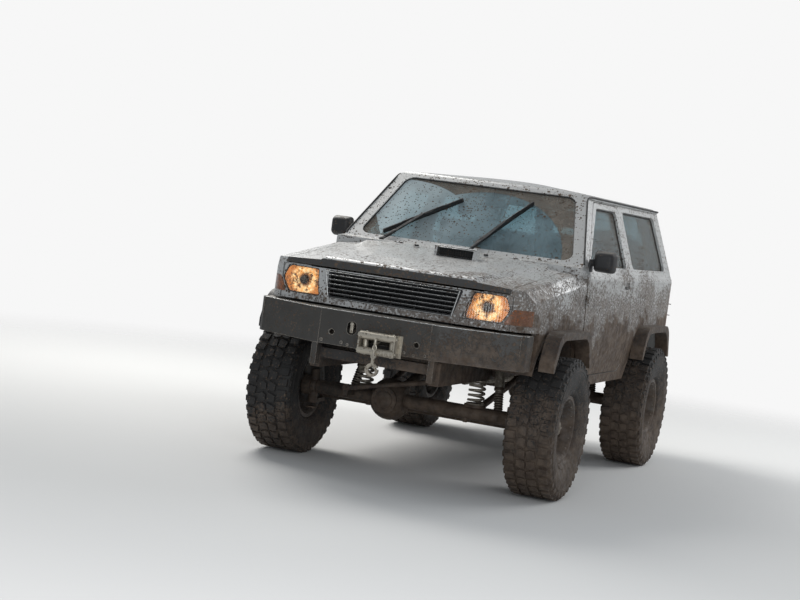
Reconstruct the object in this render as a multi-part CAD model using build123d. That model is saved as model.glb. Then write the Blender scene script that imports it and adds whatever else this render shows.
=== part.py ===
from build123d import *
import math
import os

os.makedirs("parts", exist_ok=True)

# A short, three-door, ladder-frame off-road vehicle, raised on large tyres, with a steel winch bumper.
# Millimetres. X runs to the vehicle's left, Y to its rear, Z up from the ground.
# The origin is on the ground, below the middle of the overall length.
# Lengthwise places are stations: distances behind the front axle, turned into Y by st().

# Wheels and axles
wheelbase = 2400
half_track = 865
tyre_diameter = 889
tyre_width = 315
tread_width = 268
tyre_sides = 36
rim_radius = 203
rim_half_width = 104
rim_inset = 25
hub_bore = 30
run_gap = 0.3
kingpin_half_width = 730
steer_lock = 30

# Heights above the wheel centres, which carry the whole body when the tyre size changes
wheel_z = tyre_diameter / 2
frame_top_z = wheel_z + 356
sill_z = wheel_z + 216
floor_z = wheel_z + 380
crease_z = wheel_z + 560
shoulder_z = wheel_z + 938
belt_z = wheel_z + 980
gutter_z = wheel_z + 1480
roof_peak_z = wheel_z + 1540
arch_top_z = wheel_z + 566

# Half widths of the body at those heights
sill_half = 850
body_half = 892
shoulder_half = 874
belt_half = 848
gutter_half = 672

# Stations along the body
bumper_station = -930
grille_station = -770
cab_front = 330
screen_foot = 440
screen_head = 925
door_front = 470
door_rear = wheelbase - 660
rear_overhang = 745
tail_station = wheelbase + rear_overhang
roof_tail = tail_station - 75
frame_end = tail_station - 85
frame_front = -862

# Walls and gaps
side_wall = 60
roof_wall = 30
floor_wall = 40
firewall = 35
shut_gap = 6
roof_joint = 30
rail_out = 24
rail_tall = 14
rail_fold = 4
glass = 6
seal = 0.3

# Wheel arches
arch_wall = 12
arch_inner_x = 462
flare_width = 40
flare_out = 975

# Winch fairlead and spare wheel, which end the length
roller_radius = 22
roller_reach = 62
spare_gap = 48
spare_z = wheel_z + 826
spare_x = 258
door_split_x = -215
split_gap = 14

hook_depth = 18
front_reach = -bumper_station + roller_reach + roller_radius + hook_depth
rear_reach = tail_station + spare_gap + tyre_width
front_axle_y = (front_reach - rear_reach) / 2


def st(station):
    """Y of a distance behind the front axle."""
    return front_axle_y + station


def rounded(points):
    """A closed face from corners (a, b) or (a, b, radius)."""
    turns = []
    for before, corner, after in zip(points[-1:] + points[:-1], points, points[1:] + points[:1]):
        here = Vector(*corner[:2])
        back = (Vector(*before[:2]) - here).normalized()
        ahead = (Vector(*after[:2]) - here).normalized()
        radius = corner[2] if len(corner) > 2 else 0
        half_angle = math.radians(back.get_angle(ahead)) / 2
        reach = radius / math.tan(half_angle)
        middle = here + (back + ahead).normalized() * (radius / math.sin(half_angle) - radius)
        turns.append((here + back * reach, middle, here + ahead * reach, radius))
    edges = []
    for (start, middle, end, radius), following in zip(turns, turns[1:] + turns[:1]):
        if radius:
            edges.append(ThreePointArc(start, middle, end))
        edges.append(Line(end, following[0]))
    return make_face(edges)


def along_x(points, x0, x1):
    """A prism from an outline of (station, z, radius) corners."""
    shifted = [(st(p[0]), *p[1:]) for p in points]
    return extrude(Plane.YZ.offset(x0) * rounded(shifted), x1 - x0, dir=(1, 0, 0))


def along_y(points, s0, s1):
    """A prism from an outline of (x, z, radius) corners, between two stations."""
    return extrude(Plane.XZ.offset(-st(s1)) * rounded(points), s1 - s0, dir=(0, -1, 0))


def along_z(points, z0, z1):
    """A prism from an outline of (x, station, radius) corners."""
    shifted = [(p[0], st(p[1]), *p[2:]) for p in points]
    return extrude(Plane.XY.offset(z0) * rounded(shifted), z1 - z0, dir=(0, 0, 1))


def block(x0, x1, s0, s1, z0, z1):
    """A box between two corners, lengthwise by station."""
    size = (x1 - x0, s1 - s0, z1 - z0)
    return Pos((x0 + x1) / 2, (st(s0) + st(s1)) / 2, (z0 + z1) / 2) * Box(*size)


def bar_x(x0, x1, station, z, radius):
    """A round bar across the vehicle."""
    return Pos((x0 + x1) / 2, st(station), z) * Rot(0, 90, 0) * Cylinder(radius, x1 - x0)


def rod(a, b, radius):
    """A round bar between two points given as (x, station, z)."""
    start, end = Vector(a[0], st(a[1]), a[2]), Vector(b[0], st(b[1]), b[2])
    plane = Plane(origin=start, z_dir=end - start)
    return extrude(plane * Circle(radius), (end - start).length)


def pipe(points, radius):
    """A bent round bar through points given as (x, station, z), with a wide bend at each."""
    path = [Vector(p[0], st(p[1]), p[2]) for p in points]
    line = FilletPolyline(*path, radius=4 * radius)
    start = Plane(origin=line @ 0, z_dir=line % 0)
    return sweep(start * Circle(radius), path=line)


def both(half):
    """Right half outline and its mirror image, as one closed outline that starts at the bottom left."""
    return [(-p[0], *p[1:]) for p in half] + [p for p in reversed(half) if p[0]]


def mirrored(shape):
    return mirror(shape, about=Plane.YZ)


def pair(shape):
    """A piece and its mirror image as one node of two solids."""
    return Compound(children=[*shape.solids(), *mirrored(shape).solids()])


def group(*shapes):
    """Several solids that don't touch, kept as one node."""
    return Compound(children=[s for shape in shapes for s in shape.solids()])


def save(name, shape):
    export_step(shape, f"parts/{name}.step")


# Cab: one form for the outside and, with the walls taken off, for the inside.
def cab_section(side, roof, bottom):
    half = [
        (sill_half - side, bottom),
        (body_half - side, crease_z, 1200),
        (shoulder_half - side, shoulder_z, 60),
        (belt_half - side, belt_z, 40),
        (gutter_half - side, gutter_z - roof, 60),
        (0, roof_peak_z - roof, 3000),
    ]
    right = [(-x, *rest) for x, *rest in half[:-1]]
    return right + [half[-1]] + half[-2::-1]


def cab_profile(front, rear, roof, bottom):
    lean = (screen_head - screen_foot) / (gutter_z + 10 - belt_z - 25)
    return [
        (cab_front + front, bottom),
        (cab_front + front, belt_z + 15 - roof),
        (screen_foot + roof * lean, belt_z + 25 - roof),
        (screen_head + roof, gutter_z + 10 - roof, 70),
        (1700, roof_peak_z + 6 - roof, 5000),
        (roof_tail - rear, gutter_z + 34 - roof, 60),
        (tail_station - 6 - rear, belt_z, 250),
        (tail_station - rear, bottom),
    ]


def cab_plan(side, rear):
    half = [
        (body_half - 44 - side, cab_front - 1),
        (body_half - 44 - side, door_front + shut_gap),
        (body_half + 20 - side, door_front + shut_gap),
        (body_half + 20 - side, tail_station - 400, 900),
        (body_half - 22 - side, tail_station + 1 - rear, 70),
    ]
    return both(half)


def cab_form(side, front, rear, roof, bottom):
    outside = along_y(cab_section(side, roof, bottom), cab_front - 5, tail_station + 5)
    outside &= along_x(cab_profile(front, rear, roof, bottom), -1000, 1000)
    return outside & along_z(cab_plan(side, rear), bottom, roof_peak_z + 60)


def arch_cut(station, grow, inner_x, outer_x=1100):
    """The two wheel spaces at an axle, larger by grow at the top and the ends."""
    ends = [(500 + grow, wheel_z + 100), (500 + grow, wheel_z + 176)]
    sides = [(446 + grow, wheel_z + 326, 200), (320 + grow, arch_top_z + grow, 150)]
    outline = [(x + station, *rest) for x, *rest in both(ends + sides)]
    right = along_x(outline, -outer_x, -inner_x)
    return right + along_x(outline, inner_x, outer_x)


# Upper sides: one plane through belt and gutter, which carries the side windows.
side_lean = math.atan2(belt_half - gutter_half, gutter_z - belt_z)
side_length = math.hypot(belt_half - gutter_half, gutter_z - belt_z)
side_plane = Plane(
    origin=(belt_half, 0, belt_z),
    x_dir=(0, 1, 0),
    z_dir=(math.cos(side_lean), 0, math.sin(side_lean)),
)
screen_rise = gutter_z + 10 - belt_z - 25
screen_length = math.hypot(screen_head - screen_foot, screen_rise)
screen_slope = (screen_head - screen_foot) / screen_rise
screen_lean = math.atan(screen_slope)
screen_plane = Plane(
    origin=(0, st(screen_foot), belt_z + 25),
    x_dir=(1, 0, 0),
    z_dir=(0, -math.cos(screen_lean), math.sin(screen_lean)),
)
tail_lean = math.atan2(75, gutter_z + 34 - belt_z)
tail_plane = Plane(
    origin=(0, st(tail_station), belt_z),
    x_dir=(-1, 0, 0),
    z_dir=(0, math.cos(tail_lean), math.sin(tail_lean)),
)


def on_plane(plane, outline, out, depth, draft=0):
    """A prism from an outline on a leaning plane, from out in front of it back by depth."""
    face = plane.offset(out) * rounded(outline)
    return extrude(face, depth, dir=-plane.z_dir, taper=draft)


def side_prism(outline, out, depth, draft=0):
    """A prism square to the upper side, from (station, distance above the belt) corners."""
    return on_plane(side_plane, [(st(p[0]), *p[1:]) for p in outline], out, depth, draft)


head_rise = side_length - 38
pane_front = door_front + 84
head_front = pane_front + head_rise * screen_slope
rear_foot_z = floor_z + floor_wall
rear_hinge_x = 742
tail_rise = gutter_z - belt_z - 8


def door_lower(gap):
    return [
        (door_front + gap, sill_z + 62 + gap, 40),
        (door_front + gap, belt_z + 10),
        (door_rear - gap, belt_z + 10),
        (door_rear - gap, sill_z + 62 + gap, 90),
    ]


def door_upper(gap):
    return [
        (pane_front + gap, -70),
        (pane_front + gap, 10),
        (head_front + gap, head_rise - gap, 60),
        (door_rear - gap, head_rise - gap, 60),
        (door_rear - gap, -70),
    ]


def door_space(gap):
    """The space a side door fills, smaller by a gap all round."""
    low = extrude(Plane.YZ.offset(body_half + 8) * rounded([(st(p[0]), *p[1:]) for p in door_lower(gap)]),
                  210, dir=(-1, 0, 0), taper=5)
    return low + side_prism(door_upper(gap), 10, 90, 13)


def door_window(grow):
    return [
        (pane_front + 66 - grow, 34 - grow, 30),
        (head_front + 50 - grow, head_rise - 46 + grow, 50),
        (door_rear - 84 + grow, head_rise - 46 + grow, 50),
        (door_rear - 84 + grow, 34 - grow, 40),
    ]


def quarter_window(grow):
    return [
        (door_rear + 110 - grow, 34 - grow, 40),
        (door_rear + 110 - grow, head_rise - 36 + grow, 50),
        (roof_tail - 165 + grow, head_rise - 36 + grow, 50),
        (roof_tail - 110 + grow, 34 - grow, 60),
    ]


def screen_outline(grow):
    half = [
        (belt_half - 92 + grow, 34 - grow, 60),
        (gutter_half - 66 + grow, screen_length - 52 + grow, 80),
    ]
    return both(half)


def rear_space(gap):
    """The opening that both rear doors fill, smaller by a gap all round."""
    edge = rear_hinge_x - gap
    low_half = [(edge, rear_foot_z + gap, 30), (edge, belt_z + 5)]
    high_half = [(edge, -30), (edge, 5), (edge - 176, tail_rise - gap, 70)]
    low = extrude(Plane.XZ.offset(-st(tail_station) - 8) * rounded(both(low_half)),
                  150, dir=(0, -1, 0), taper=9)
    return low + on_plane(tail_plane, both(high_half), 40, 150, 9)


def rear_window(name, grow):
    """A rear window's outline on the tail plane, whose own X runs to the vehicle's right."""
    side = 1 if name == "large" else -1
    near = side * grow - door_split_x - side * 70
    far = -side * (680 + grow)
    return [
        (near, 40 - grow, 40),
        (near, tail_rise - 60 + grow, 40),
        (far + side * 150, tail_rise - 60 + grow, 40),
        (far, 40 - grow, 40),
    ]


def cab_pieces():
    """Roof, body sides, and floor with firewall and rear posts, split along the real panels."""
    outer = cab_form(0, 0, 0, 0, sill_z)
    inner = cab_form(side_wall, firewall, side_wall, roof_wall, floor_z + floor_wall)
    cab = outer - inner - block(-760, 760, cab_front - 5, tail_station + 5, sill_z - 5, floor_z)
    cab -= arch_cut(0, arch_wall, arch_inner_x)
    cab -= arch_cut(wheelbase, 0, half_track - tyre_width / 2 - 25)
    cab -= on_plane(screen_plane, screen_outline(0), 40, 120)
    opening = door_space(0) + side_prism(quarter_window(0), 30, 150)
    cab -= opening + mirrored(opening)
    cab -= rear_space(0)
    lamp = tail_lamp_box(seal)
    cab -= lamp + mirrored(lamp)

    cut_z = gutter_z - roof_joint
    headers = block(-480, 480, screen_foot, tail_station + 5, belt_z + 200, cut_z)
    roof = cab & (block(-1000, 1000, cab_front, tail_station, cut_z, roof_peak_z + 100) + headers)
    lower = block(body_half - 140, 1100, cab_front - 5, tail_station + 5, sill_z - 5, belt_z)
    lower += block(rear_hinge_x - 5, 1100, tail_station - 90, tail_station + 5, sill_z - 5, belt_z)
    upper = block(480, 1100, screen_foot, tail_station + 5, belt_z, cut_z)
    upper -= block(0, 1100, screen_foot - 5, door_front + 130, belt_z - 5, belt_z + 40)
    side = cab & (lower + upper)
    floor = cab - roof - side - mirrored(side)
    tub = arch_cut(wheelbase, arch_wall, half_track - tyre_width / 2 - 25 - arch_wall)
    tub -= arch_cut(wheelbase, 0, half_track - tyre_width / 2 - 25, 1110)
    floor += tub & inner
    rail = drip_rail()
    return roof + rail + mirrored(rail), side, floor, outer - inner


def drip_rail():
    """Folded rain channel along the roof's edge, just above the doors."""
    low = gutter_z - roof_joint + 1
    lip = gutter_half + rail_out
    outline = [(gutter_half - 8, low), (lip, low), (lip, low + rail_tall), (lip - rail_fold, low + rail_tall),
               (lip - rail_fold, low + rail_fold), (gutter_half - 8, low + rail_fold)]
    return along_y(outline, screen_head + 60, roof_tail - 30)


def tail_lamp_box(grow):
    return block(770 - grow, 930, tail_station - 70 - grow, tail_station + 50,
                 floor_z + 190 - grow, floor_z + 480 + grow)


handle_length = 150
handle_tall = 46
handle_depth = 24
handle_flap = 26
handle_z = belt_z - 112


def door_handle():
    """The cup behind a door's handle, and the flap across its upper half."""
    rear = door_rear - 76
    skin = belt_half + (body_half - belt_half) * (belt_z - handle_z) / (belt_z - crease_z)
    cup = block(skin - handle_depth, skin + 60, rear - handle_length, rear, handle_z, handle_z + handle_tall)
    cup = fillet(cup.edges().filter_by(Axis.X), 10)
    flap = block(skin - 8, skin + 3, rear - handle_length - 6, rear + 6, handle_z + handle_tall - handle_flap,
                 handle_z + handle_tall + 6)
    return cup, fillet(flap.edges().filter_by(Axis.X), 6)


def side_door(wall):
    door = wall & door_space(shut_gap)
    cup, flap = door_handle()
    return door - side_prism(door_window(0), 30, 150) - cup + flap


# Hinges: a fixed barrel below a moving one, both round the joint's own axis.
hinge_radius = 14
barrel = 40
side_hinge_x = body_half - 2
side_hinge_z = (crease_z - 60, crease_z + 190)
rear_hinge_z = (floor_z + 90, floor_z + 520)


def barrels(x, station, heights, lift, grow):
    """Upright barrels on one axis, at the given heights."""
    bars = []
    for z in heights:
        middle = z + lift + barrel / 2
        bars.append(Pos(x, st(station), middle) * Cylinder(hinge_radius + grow, barrel + 2 * grow))
    return bars


def hinged(fixed, moving, x, station, heights):
    """The fixed piece with its lower barrels and the moving piece with its upper ones."""
    up = barrel + run_gap
    for low, low_space, high, high_space in zip(
            barrels(x, station, heights, 0, 0), barrels(x, station, heights, 0, run_gap),
            barrels(x, station, heights, up, 0), barrels(x, station, heights, up, run_gap)):
        fixed = fixed - high_space + low
        moving = moving - low_space + high
    return fixed, moving


def rear_doors(wall):
    """Large door on the left, small door on the right; their meeting edges lean apart."""
    both_doors = wall & rear_space(shut_gap)
    lean = 0.05
    far = tail_station - 200
    slot = [
        (door_split_x - split_gap / 2, tail_station + 50),
        (door_split_x + split_gap / 2, tail_station + 50),
        (door_split_x + split_gap / 2 - 250 * lean, far),
        (door_split_x - split_gap / 2 - 250 * lean, far),
    ]
    both_doors -= along_z(slot, sill_z, roof_peak_z + 100)
    for name in ("large", "small"):
        both_doors -= on_plane(tail_plane, rear_window(name, 0), 40, 160)
    solids = sorted(both_doors.solids(), key=lambda s: s.center().X)
    return solids[-1], solids[0]


roof_panel, side_left, floor_pan, cab_wall = cab_pieces()
door_left = side_door(cab_wall)
rear_door_large, rear_door_small = rear_doors(cab_wall)
side_right = mirrored(side_left)
side_left, rear_door_large = hinged(side_left, rear_door_large, rear_hinge_x, tail_station + 2, rear_hinge_z)
side_right, rear_door_small = hinged(side_right, rear_door_small, -rear_hinge_x, tail_station + 2,
                                     rear_hinge_z)
save("roof_panel", roof_panel)
save("body_sides", group(side_left, side_right))
save("rear_door_large", rear_door_large)
save("rear_door_small", rear_door_small)


# Fixed and door glass, set back from the outer skin, with a thin seal line round it.
def side_glass(outline):
    return side_prism(outline(-seal), -24, glass)


def tail_glass(name):
    return on_plane(tail_plane, rear_window(name, -seal), -20, glass)


windscreen = on_plane(screen_plane, screen_outline(-seal), -14, glass)
quarter_glass = side_glass(quarter_window)
save("fixed_glass", group(windscreen, quarter_glass, mirrored(quarter_glass)))
save("door_glass_left", side_glass(door_window))
save("door_glass_right", mirrored(side_glass(door_window)))
save("rear_glass_large", tail_glass("large"))
save("rear_glass_small", tail_glass("small"))


# Nose: fenders and hood cut from one form.
hood_front_z = wheel_z + 862
hood_rear_z = wheel_z + 990
hood_edge_half = 724
nose_bottom_z = wheel_z + 590
hood_lip_z = wheel_z + 800


def nose_section(side, edge_z, raised_half):
    """Side, rolled edge, flat top and raised centre of the nose at one station."""
    return both([
        (side - 42, sill_z),
        (side, crease_z, 1200),
        (side - 16, edge_z - 90, 40),
        (side - 62, edge_z - 14, 30),
        (raised_half + 34, edge_z),
        (raised_half, edge_z + 22),
        (raised_half - 200, edge_z + 32),
    ])


def nose_form(inset):
    drop = inset
    front = Plane.XZ.offset(-st(-800)) * rounded(nose_section(850 - inset, hood_front_z - 30 - drop, 455))
    rear = Plane.XZ.offset(-st(door_front - shut_gap)) * rounded(
        nose_section(body_half - 2 - inset, hood_rear_z - 10 - drop, 650))
    form = Solid.make_loft([front.wire(), rear.wire()], ruled=True)
    profile = [
        (grille_station + inset, nose_bottom_z - 500),
        (grille_station + inset, wheel_z + 628, 10),
        (-705 + inset, wheel_z + 795, 40),
        (-668 + inset, hood_front_z + 6 - drop, 50),
        (door_front, hood_rear_z + 60 - drop),
        (door_front, nose_bottom_z - 500),
    ]
    plan = both([
        (body_half - inset, door_front + 10),
        (body_half - inset, -150, 1500),
        (876 - inset, -500, 150),
        (770 - inset, -690 + inset, 150),
        (450, -762 + inset, 900),
        (0, -792 + inset),
    ][:-1])
    return form & along_x(profile, -1000, 1000) & along_z(plan, nose_bottom_z - 500, hood_rear_z + 200)


hood_skin = 26
hood_rear = cab_front - shut_gap


def hood_space(gap):
    plan = both([
        (745 - gap, hood_rear + 30 if gap == 0 else hood_rear),
        (hood_edge_half - gap, -560),
        (hood_edge_half - gap, -850),
    ])
    space = along_z(plan, hood_lip_z, hood_rear_z + 200)
    below = [
        (-900, hood_lip_z - 100),
        (-900, hood_lip_z + gap),
        (-640, hood_lip_z + gap + 4),
        (-640, hood_lip_z - 100),
    ]
    return space - along_x(below, -1000, 1000)


nose = nose_form(0)
nose_core = nose_form(hood_skin)
fender_core = nose_form(44)
cab_clear = along_z(both([(body_half - 43.7, cab_front - 0.3), (body_half - 43.7, door_front + 20)]),
                    sill_z - 50, roof_peak_z)
nose_skin = nose - nose_core
hood = (nose_skin & hood_space(shut_gap)) - block(-1000, 1000, hood_rear, door_front + 20, sill_z, roof_peak_z)
fender = (nose - fender_core) & block(560, 1000, -850, door_front - shut_gap, sill_z - 5, hood_rear_z + 100)
fender -= hood_space(0)
fender -= cab_clear
fender -= arch_cut(0, 0, arch_inner_x - 100)
fender -= block(-1000, 1000, -850, -440, sill_z - 10, nose_bottom_z)

scoop = along_x([(-6, hood_rear_z - 70, 10), (4, hood_rear_z + 36, 14), (110, hood_rear_z + 30)], -30, 250)
scoop &= block(-30, 250, -20, 96, sill_z, hood_rear_z + 100)
scoop -= block(-14, 234, -20, 60, hood_rear_z - 60, hood_rear_z + 22)
hood += scoop - nose_core
hood_hinge_z = hood_rear_z + 6
hood_hinge_station = cab_front - 3
for x in (-400, 400):
    fixed = bar_x(x - 30, x, hood_hinge_station, hood_hinge_z, 9)
    floor_pan = floor_pan - bar_x(x, x + 31, hood_hinge_station, hood_hinge_z, 9 + run_gap) + fixed
    hood -= bar_x(x - 31, x + run_gap, hood_hinge_station, hood_hinge_z, 9 + run_gap)
    hood += bar_x(x + run_gap, x + 30, hood_hinge_station, hood_hinge_z, 9)
save("hood", hood)
save("floor_pan", floor_pan)


# Nose panel with lamp and grille openings, the lamps, and the grille
panel_front = -640


def headlamp_outline(grow):
    return [
        (456 - grow, nose_bottom_z + 38 - grow, 12),
        (688 + grow, nose_bottom_z + 38 - grow, 12),
        (738 + grow, nose_bottom_z + 122, 12),
        (704 + grow, hood_lip_z - 8 + grow, 12),
        (500 - grow, hood_lip_z - 8 + grow, 12),
    ]


def grille_outline(grow):
    half = [(402 + grow, nose_bottom_z + 36 - grow, 14), (436 + grow, hood_lip_z - 8 + grow, 14)]
    return both(half)


def corner_lamp(grow):
    """Lamp that fills the fender's front corner outside the headlamp."""
    outline = [
        (704 - grow, nose_bottom_z + 38 - grow, 8),
        (960, nose_bottom_z + 38 - grow),
        (960, nose_bottom_z + 130 + grow),
        (754 - grow, nose_bottom_z + 130 + grow, 8),
    ]
    return along_y(outline, -800, -560) & nose


lamp_left = along_y(headlamp_outline(0), -800, panel_front + 20) & nose_form(4)
lamp_left = lamp_left & block(400, 800, -800, panel_front + 20, nose_bottom_z, hood_front_z)
corner_left = corner_lamp(0) - fender_core
panel = nose_form(6) & block(-740, 740, -800, panel_front, nose_bottom_z, hood_lip_z - 2)
lamp_hole = along_y(headlamp_outline(seal), -850, -500)
panel -= lamp_hole + mirrored(lamp_hole)
panel -= along_y(grille_outline(seal), -850, -500)
corner_hole = corner_lamp(seal)
panel -= corner_hole + mirrored(corner_hole)
fender_left = fender - corner_hole - lamp_hole
fender_left -= block(-745, 745, -850, -600, nose_bottom_z - 5, hood_lip_z)
fender_left, door_left = hinged(fender_left, door_left, side_hinge_x, door_front, side_hinge_z)
save("fenders", pair(fender_left))
save("door_left", door_left)
save("door_right", mirrored(door_left))
save("front_panel", panel)
save("headlamps", pair(lamp_left))
save("corner_lamps", pair(corner_left))

grille_pitch = 27
grille_front = nose_form(12) & along_y(grille_outline(0), -800, panel_front + 40)
grille_back = Pos(0, 50, 0) * nose_form(12)
opening = grille_front & along_y(grille_outline(-14), -800, panel_front + 60)
grille = grille_front - opening - grille_back
for row in range(5):
    slat_z = nose_bottom_z + 62 + row * grille_pitch
    slat = block(-460, 460, -800, panel_front, slat_z, slat_z + 9)
    grille += (opening - grille_back) & slat
for post_x in (-300, -150, 0, 150, 300):
    post = block(post_x - 4, post_x + 4, -800, panel_front, nose_bottom_z, 2000)
    grille += (opening & Pos(0, 25, 0) * nose_form(12)) & post - grille_back
save("grille", grille)


# Wheel housings and flares
liner = arch_cut(0, arch_wall, arch_inner_x, 846) - arch_cut(0, 0, arch_inner_x + arch_wall)
liner &= block(-1000, 1000, -444, 620, wheel_z + 330, 1300)
liner -= block(-1000, 1000, cab_front, 620, wheel_z, sill_z)
save("wheel_housings", group(liner - fender_left - mirrored(fender_left)))

flare_list = []
for axle_station, end in ((0, door_front - shut_gap - 2), (wheelbase, tail_station - 145)):
    flare = arch_cut(axle_station, flare_width, body_half - 12, flare_out)
    flare -= arch_cut(axle_station, -6, body_half - 40)
    flare &= block(0, 1100, -444 + axle_station, end, sill_z + 150, 1300)
    flare_list.append(flare - fender_left - side_left)
flares = group(*flare_list)
save("flares", group(flares, mirrored(flares)))


rail_x0 = 350
rail_x1 = 412
rail_low = wheel_z + 216
gearbox_end = 1070
tank_front = wheelbase + 160
tank_top = wheel_z + 330
front_link_end = 910
rear_link_end = wheelbase - 910

# Front bumper of folded plate, winch behind it, fairlead and hook on its face
bumper_top = wheel_z + 576
bumper_low = wheel_z + 450
fair_z = bumper_low - 36
plate = 8
plate_drop = 84
plate_half = 352
winch_x = 50


def bumper_form(inset):
    plan = both([
        (860 - inset, -560), (860 - inset, -672 + inset / 2, 20), (828 - inset, -712 + inset, 20),
        (395, bumper_station + inset, 60),
    ])
    plate_low = bumper_low - plate_drop
    form = along_z(plan, plate_low + inset, bumper_top - inset)
    under = both([(1000, plate_low - 8), (1000, bumper_low + inset), (plate_half + 78, bumper_low + inset),
                  (plate_half, plate_low + inset), (plate_half, plate_low - 8)])
    return form - (along_y(under, -1000, -500) & block(-1000, 1000, -1000, -500, 0, bumper_top)
                   - block(-plate_half, plate_half, -1000, -500, 0, 2000))


bumper = bumper_form(0) - bumper_form(plate)
bumper -= block(-900, 900, -720, -550, 0, 2000) & block(-700, 700, -720, -550, 0, 2000)
bumper -= block(winch_x - 78, winch_x + 78, bumper_station - 10, bumper_station + 30, fair_z - 32, fair_z + 38)
clutch_slot = rounded([(-175, fair_z + 28, 26), (-117, fair_z + 28, 26), (-117, fair_z + 106, 26),
                       (-175, fair_z + 106, 26)])
bumper -= extrude(Plane.XZ.offset(-st(bumper_station)) * clutch_slot, 30, both=True)
for side in (-1, 1):
    bumper -= Pos(side * 270, st(bumper_station), bumper_low - 8) * Rot(90, 0, 0) * Cylinder(15, 60)
    bumper += block(*sorted((side * (plate_half + 2), side * 390)), bumper_station + plate - 1, frame_front,
                    rail_low + 20, bumper_low + 60)
save("front_bumper", bumper)

winch_z = bumper_low - 4
winch_station = bumper_station + 95
drum_half = 105
gearbox_reach = 262
motor_reach = 232
tie_offset = 34
winch = bar_x(-drum_half, drum_half, winch_station, winch_z, 32)
for end, reach in ((-1, gearbox_reach), (1, motor_reach)):
    winch += bar_x(*sorted((end * drum_half, end * (drum_half + 13))), winch_station, winch_z, 56)
    winch += bar_x(*sorted((end * (drum_half + 13), end * reach)), winch_station, winch_z, 48)
winch += block(-236, 236, winch_station - 30, winch_station + 30, bumper_low - plate_drop + plate, winch_z - 40)
for offset in (-tie_offset, tie_offset):
    winch += bar_x(-drum_half - 6, drum_half + 6, winch_station + offset, winch_z + tie_offset, 7)
winch = Pos(winch_x, 0, 0) * winch
save("winch", winch)

fair_front = bumper_station - 6
fairlead = block(-135, 135, fair_front, bumper_station, fair_z - 66, fair_z + 66)
fairlead -= block(-78, 78, fair_front - 5, bumper_station + 5, fair_z - 35, fair_z + 35)
roller_station = bumper_station - roller_reach
for end in (-1, 1):
    fairlead += block(*sorted((end * 108, end * 116)), roller_station - 18, fair_front, fair_z - 60, fair_z + 60)
    fairlead += bar_x(-112, 112, roller_station, fair_z + end * 44, roller_radius)
    upright = Pos(end * 84, st(bumper_station - 31), fair_z) * Cylinder(17, 108)
    fairlead += upright
fairlead = Pos(winch_x, 0, 0) * fairlead
save("fairlead", fairlead)

rope_radius = 5
rope_station = roller_station + 4
hook_z = fair_z - 148
hook_station = roller_station - roller_radius - hook_depth / 2
rope = rod((winch_x, winch_station - 28, winch_z), (winch_x, hook_station, fair_z), rope_radius) - winch
rope += rod((winch_x, hook_station, fair_z), (winch_x, hook_station, hook_z + 84), rope_radius)
save("winch_rope", rope)
eye_rise = 82
hook_ring = Circle(40) - Pos(2, 0) * Circle(23) - Pos(34, 12) * Rectangle(30, 9)
hook_neck = Pos(0, 58) * Rectangle(17, 40)
hook_eye = Pos(0, eye_rise) * Circle(17)
hook_face = hook_ring + hook_neck + hook_eye - Pos(0, eye_rise) * Circle(8)
hook = extrude(Plane.XZ * hook_face, hook_depth / 2, both=True)
hook = Pos(winch_x, st(hook_station), hook_z) * hook
save("winch_hook", hook - rope)


# Ladder frame, engine mass, and underbody
frame = None
for side in (-1, 1):
    rail = block(*sorted((side * rail_x0, side * rail_x1)), frame_front, frame_end, rail_low, frame_top_z)
    frame = rail if frame is None else frame + rail
for station, tall in ((frame_front + 40, 60), (-420, 70), (gearbox_end + 40, 60), (wheelbase - 470, 80),
                      (frame_end - 80, 90)):
    low = frame_top_z - 20 - tall
    frame += block(-rail_x0, rail_x0, station - 40, station + 40, low, low + tall)
frame += block(-rail_x0, rail_x0, tank_front + 140, tank_front + 220, tank_top, frame_top_z)
for side in (-1, 1):
    frame += block(*sorted((side * 240, side * rail_x0)), -60, 60, wheel_z + 330, frame_top_z)
    for station in (front_link_end, rear_link_end):
        frame += block(side * 380 - 24, side * 380 + 24, station - 30, station + 30, rail_low - 60, rail_low)
    for station in (190, wheelbase + 190):
        frame += block(*sorted((side * rail_x1, side * 452)), station - 14, station + 14, rail_low + 20,
                       wheel_z + 306)
for station in (430, 1000, door_rear - 100, wheelbase + 160, tail_station - 185):
    for side in (-1, 1):
        frame += Pos(side * 380, st(station), (frame_top_z + floor_z) / 2) * Cylinder(40, floor_z - frame_top_z)
save("chassis_frame", frame)

engine = block(-240, 240, -330, 322, wheel_z + 330, wheel_z + 780)
engine += block(-150, 150, 322, gearbox_end, wheel_z + 212, wheel_z + 374)
save("engine_block", engine)

tank = along_y([(-335, wheel_z + 128, 40), (225, wheel_z + 128, 40), (225, tank_top, 40),
                (-335, tank_top, 40)], tank_front, tail_station - 225)
save("fuel_tank", tank)

exhaust_z = wheel_z + 172
exhaust = pipe([(190, 200, wheel_z + 350), (190, 240, exhaust_z), (280, 700, exhaust_z),
                (286, tail_station + 45, exhaust_z - 14)], 26) - engine
exhaust += rod((283, 1200, exhaust_z - 2), (284, 1800, exhaust_z - 6), 56)
save("exhaust", exhaust)


# Axles, suspension and steering
spring_x = 380
tube_radius = 44
case_radius = 135
case_half = 105
case_face = 112
cover_radius = 84
cover_wall = 12
nose_radius = 46
ball_radius = 50
pad_radius = 70
pad_top = 58
pad_wall = 16


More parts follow.
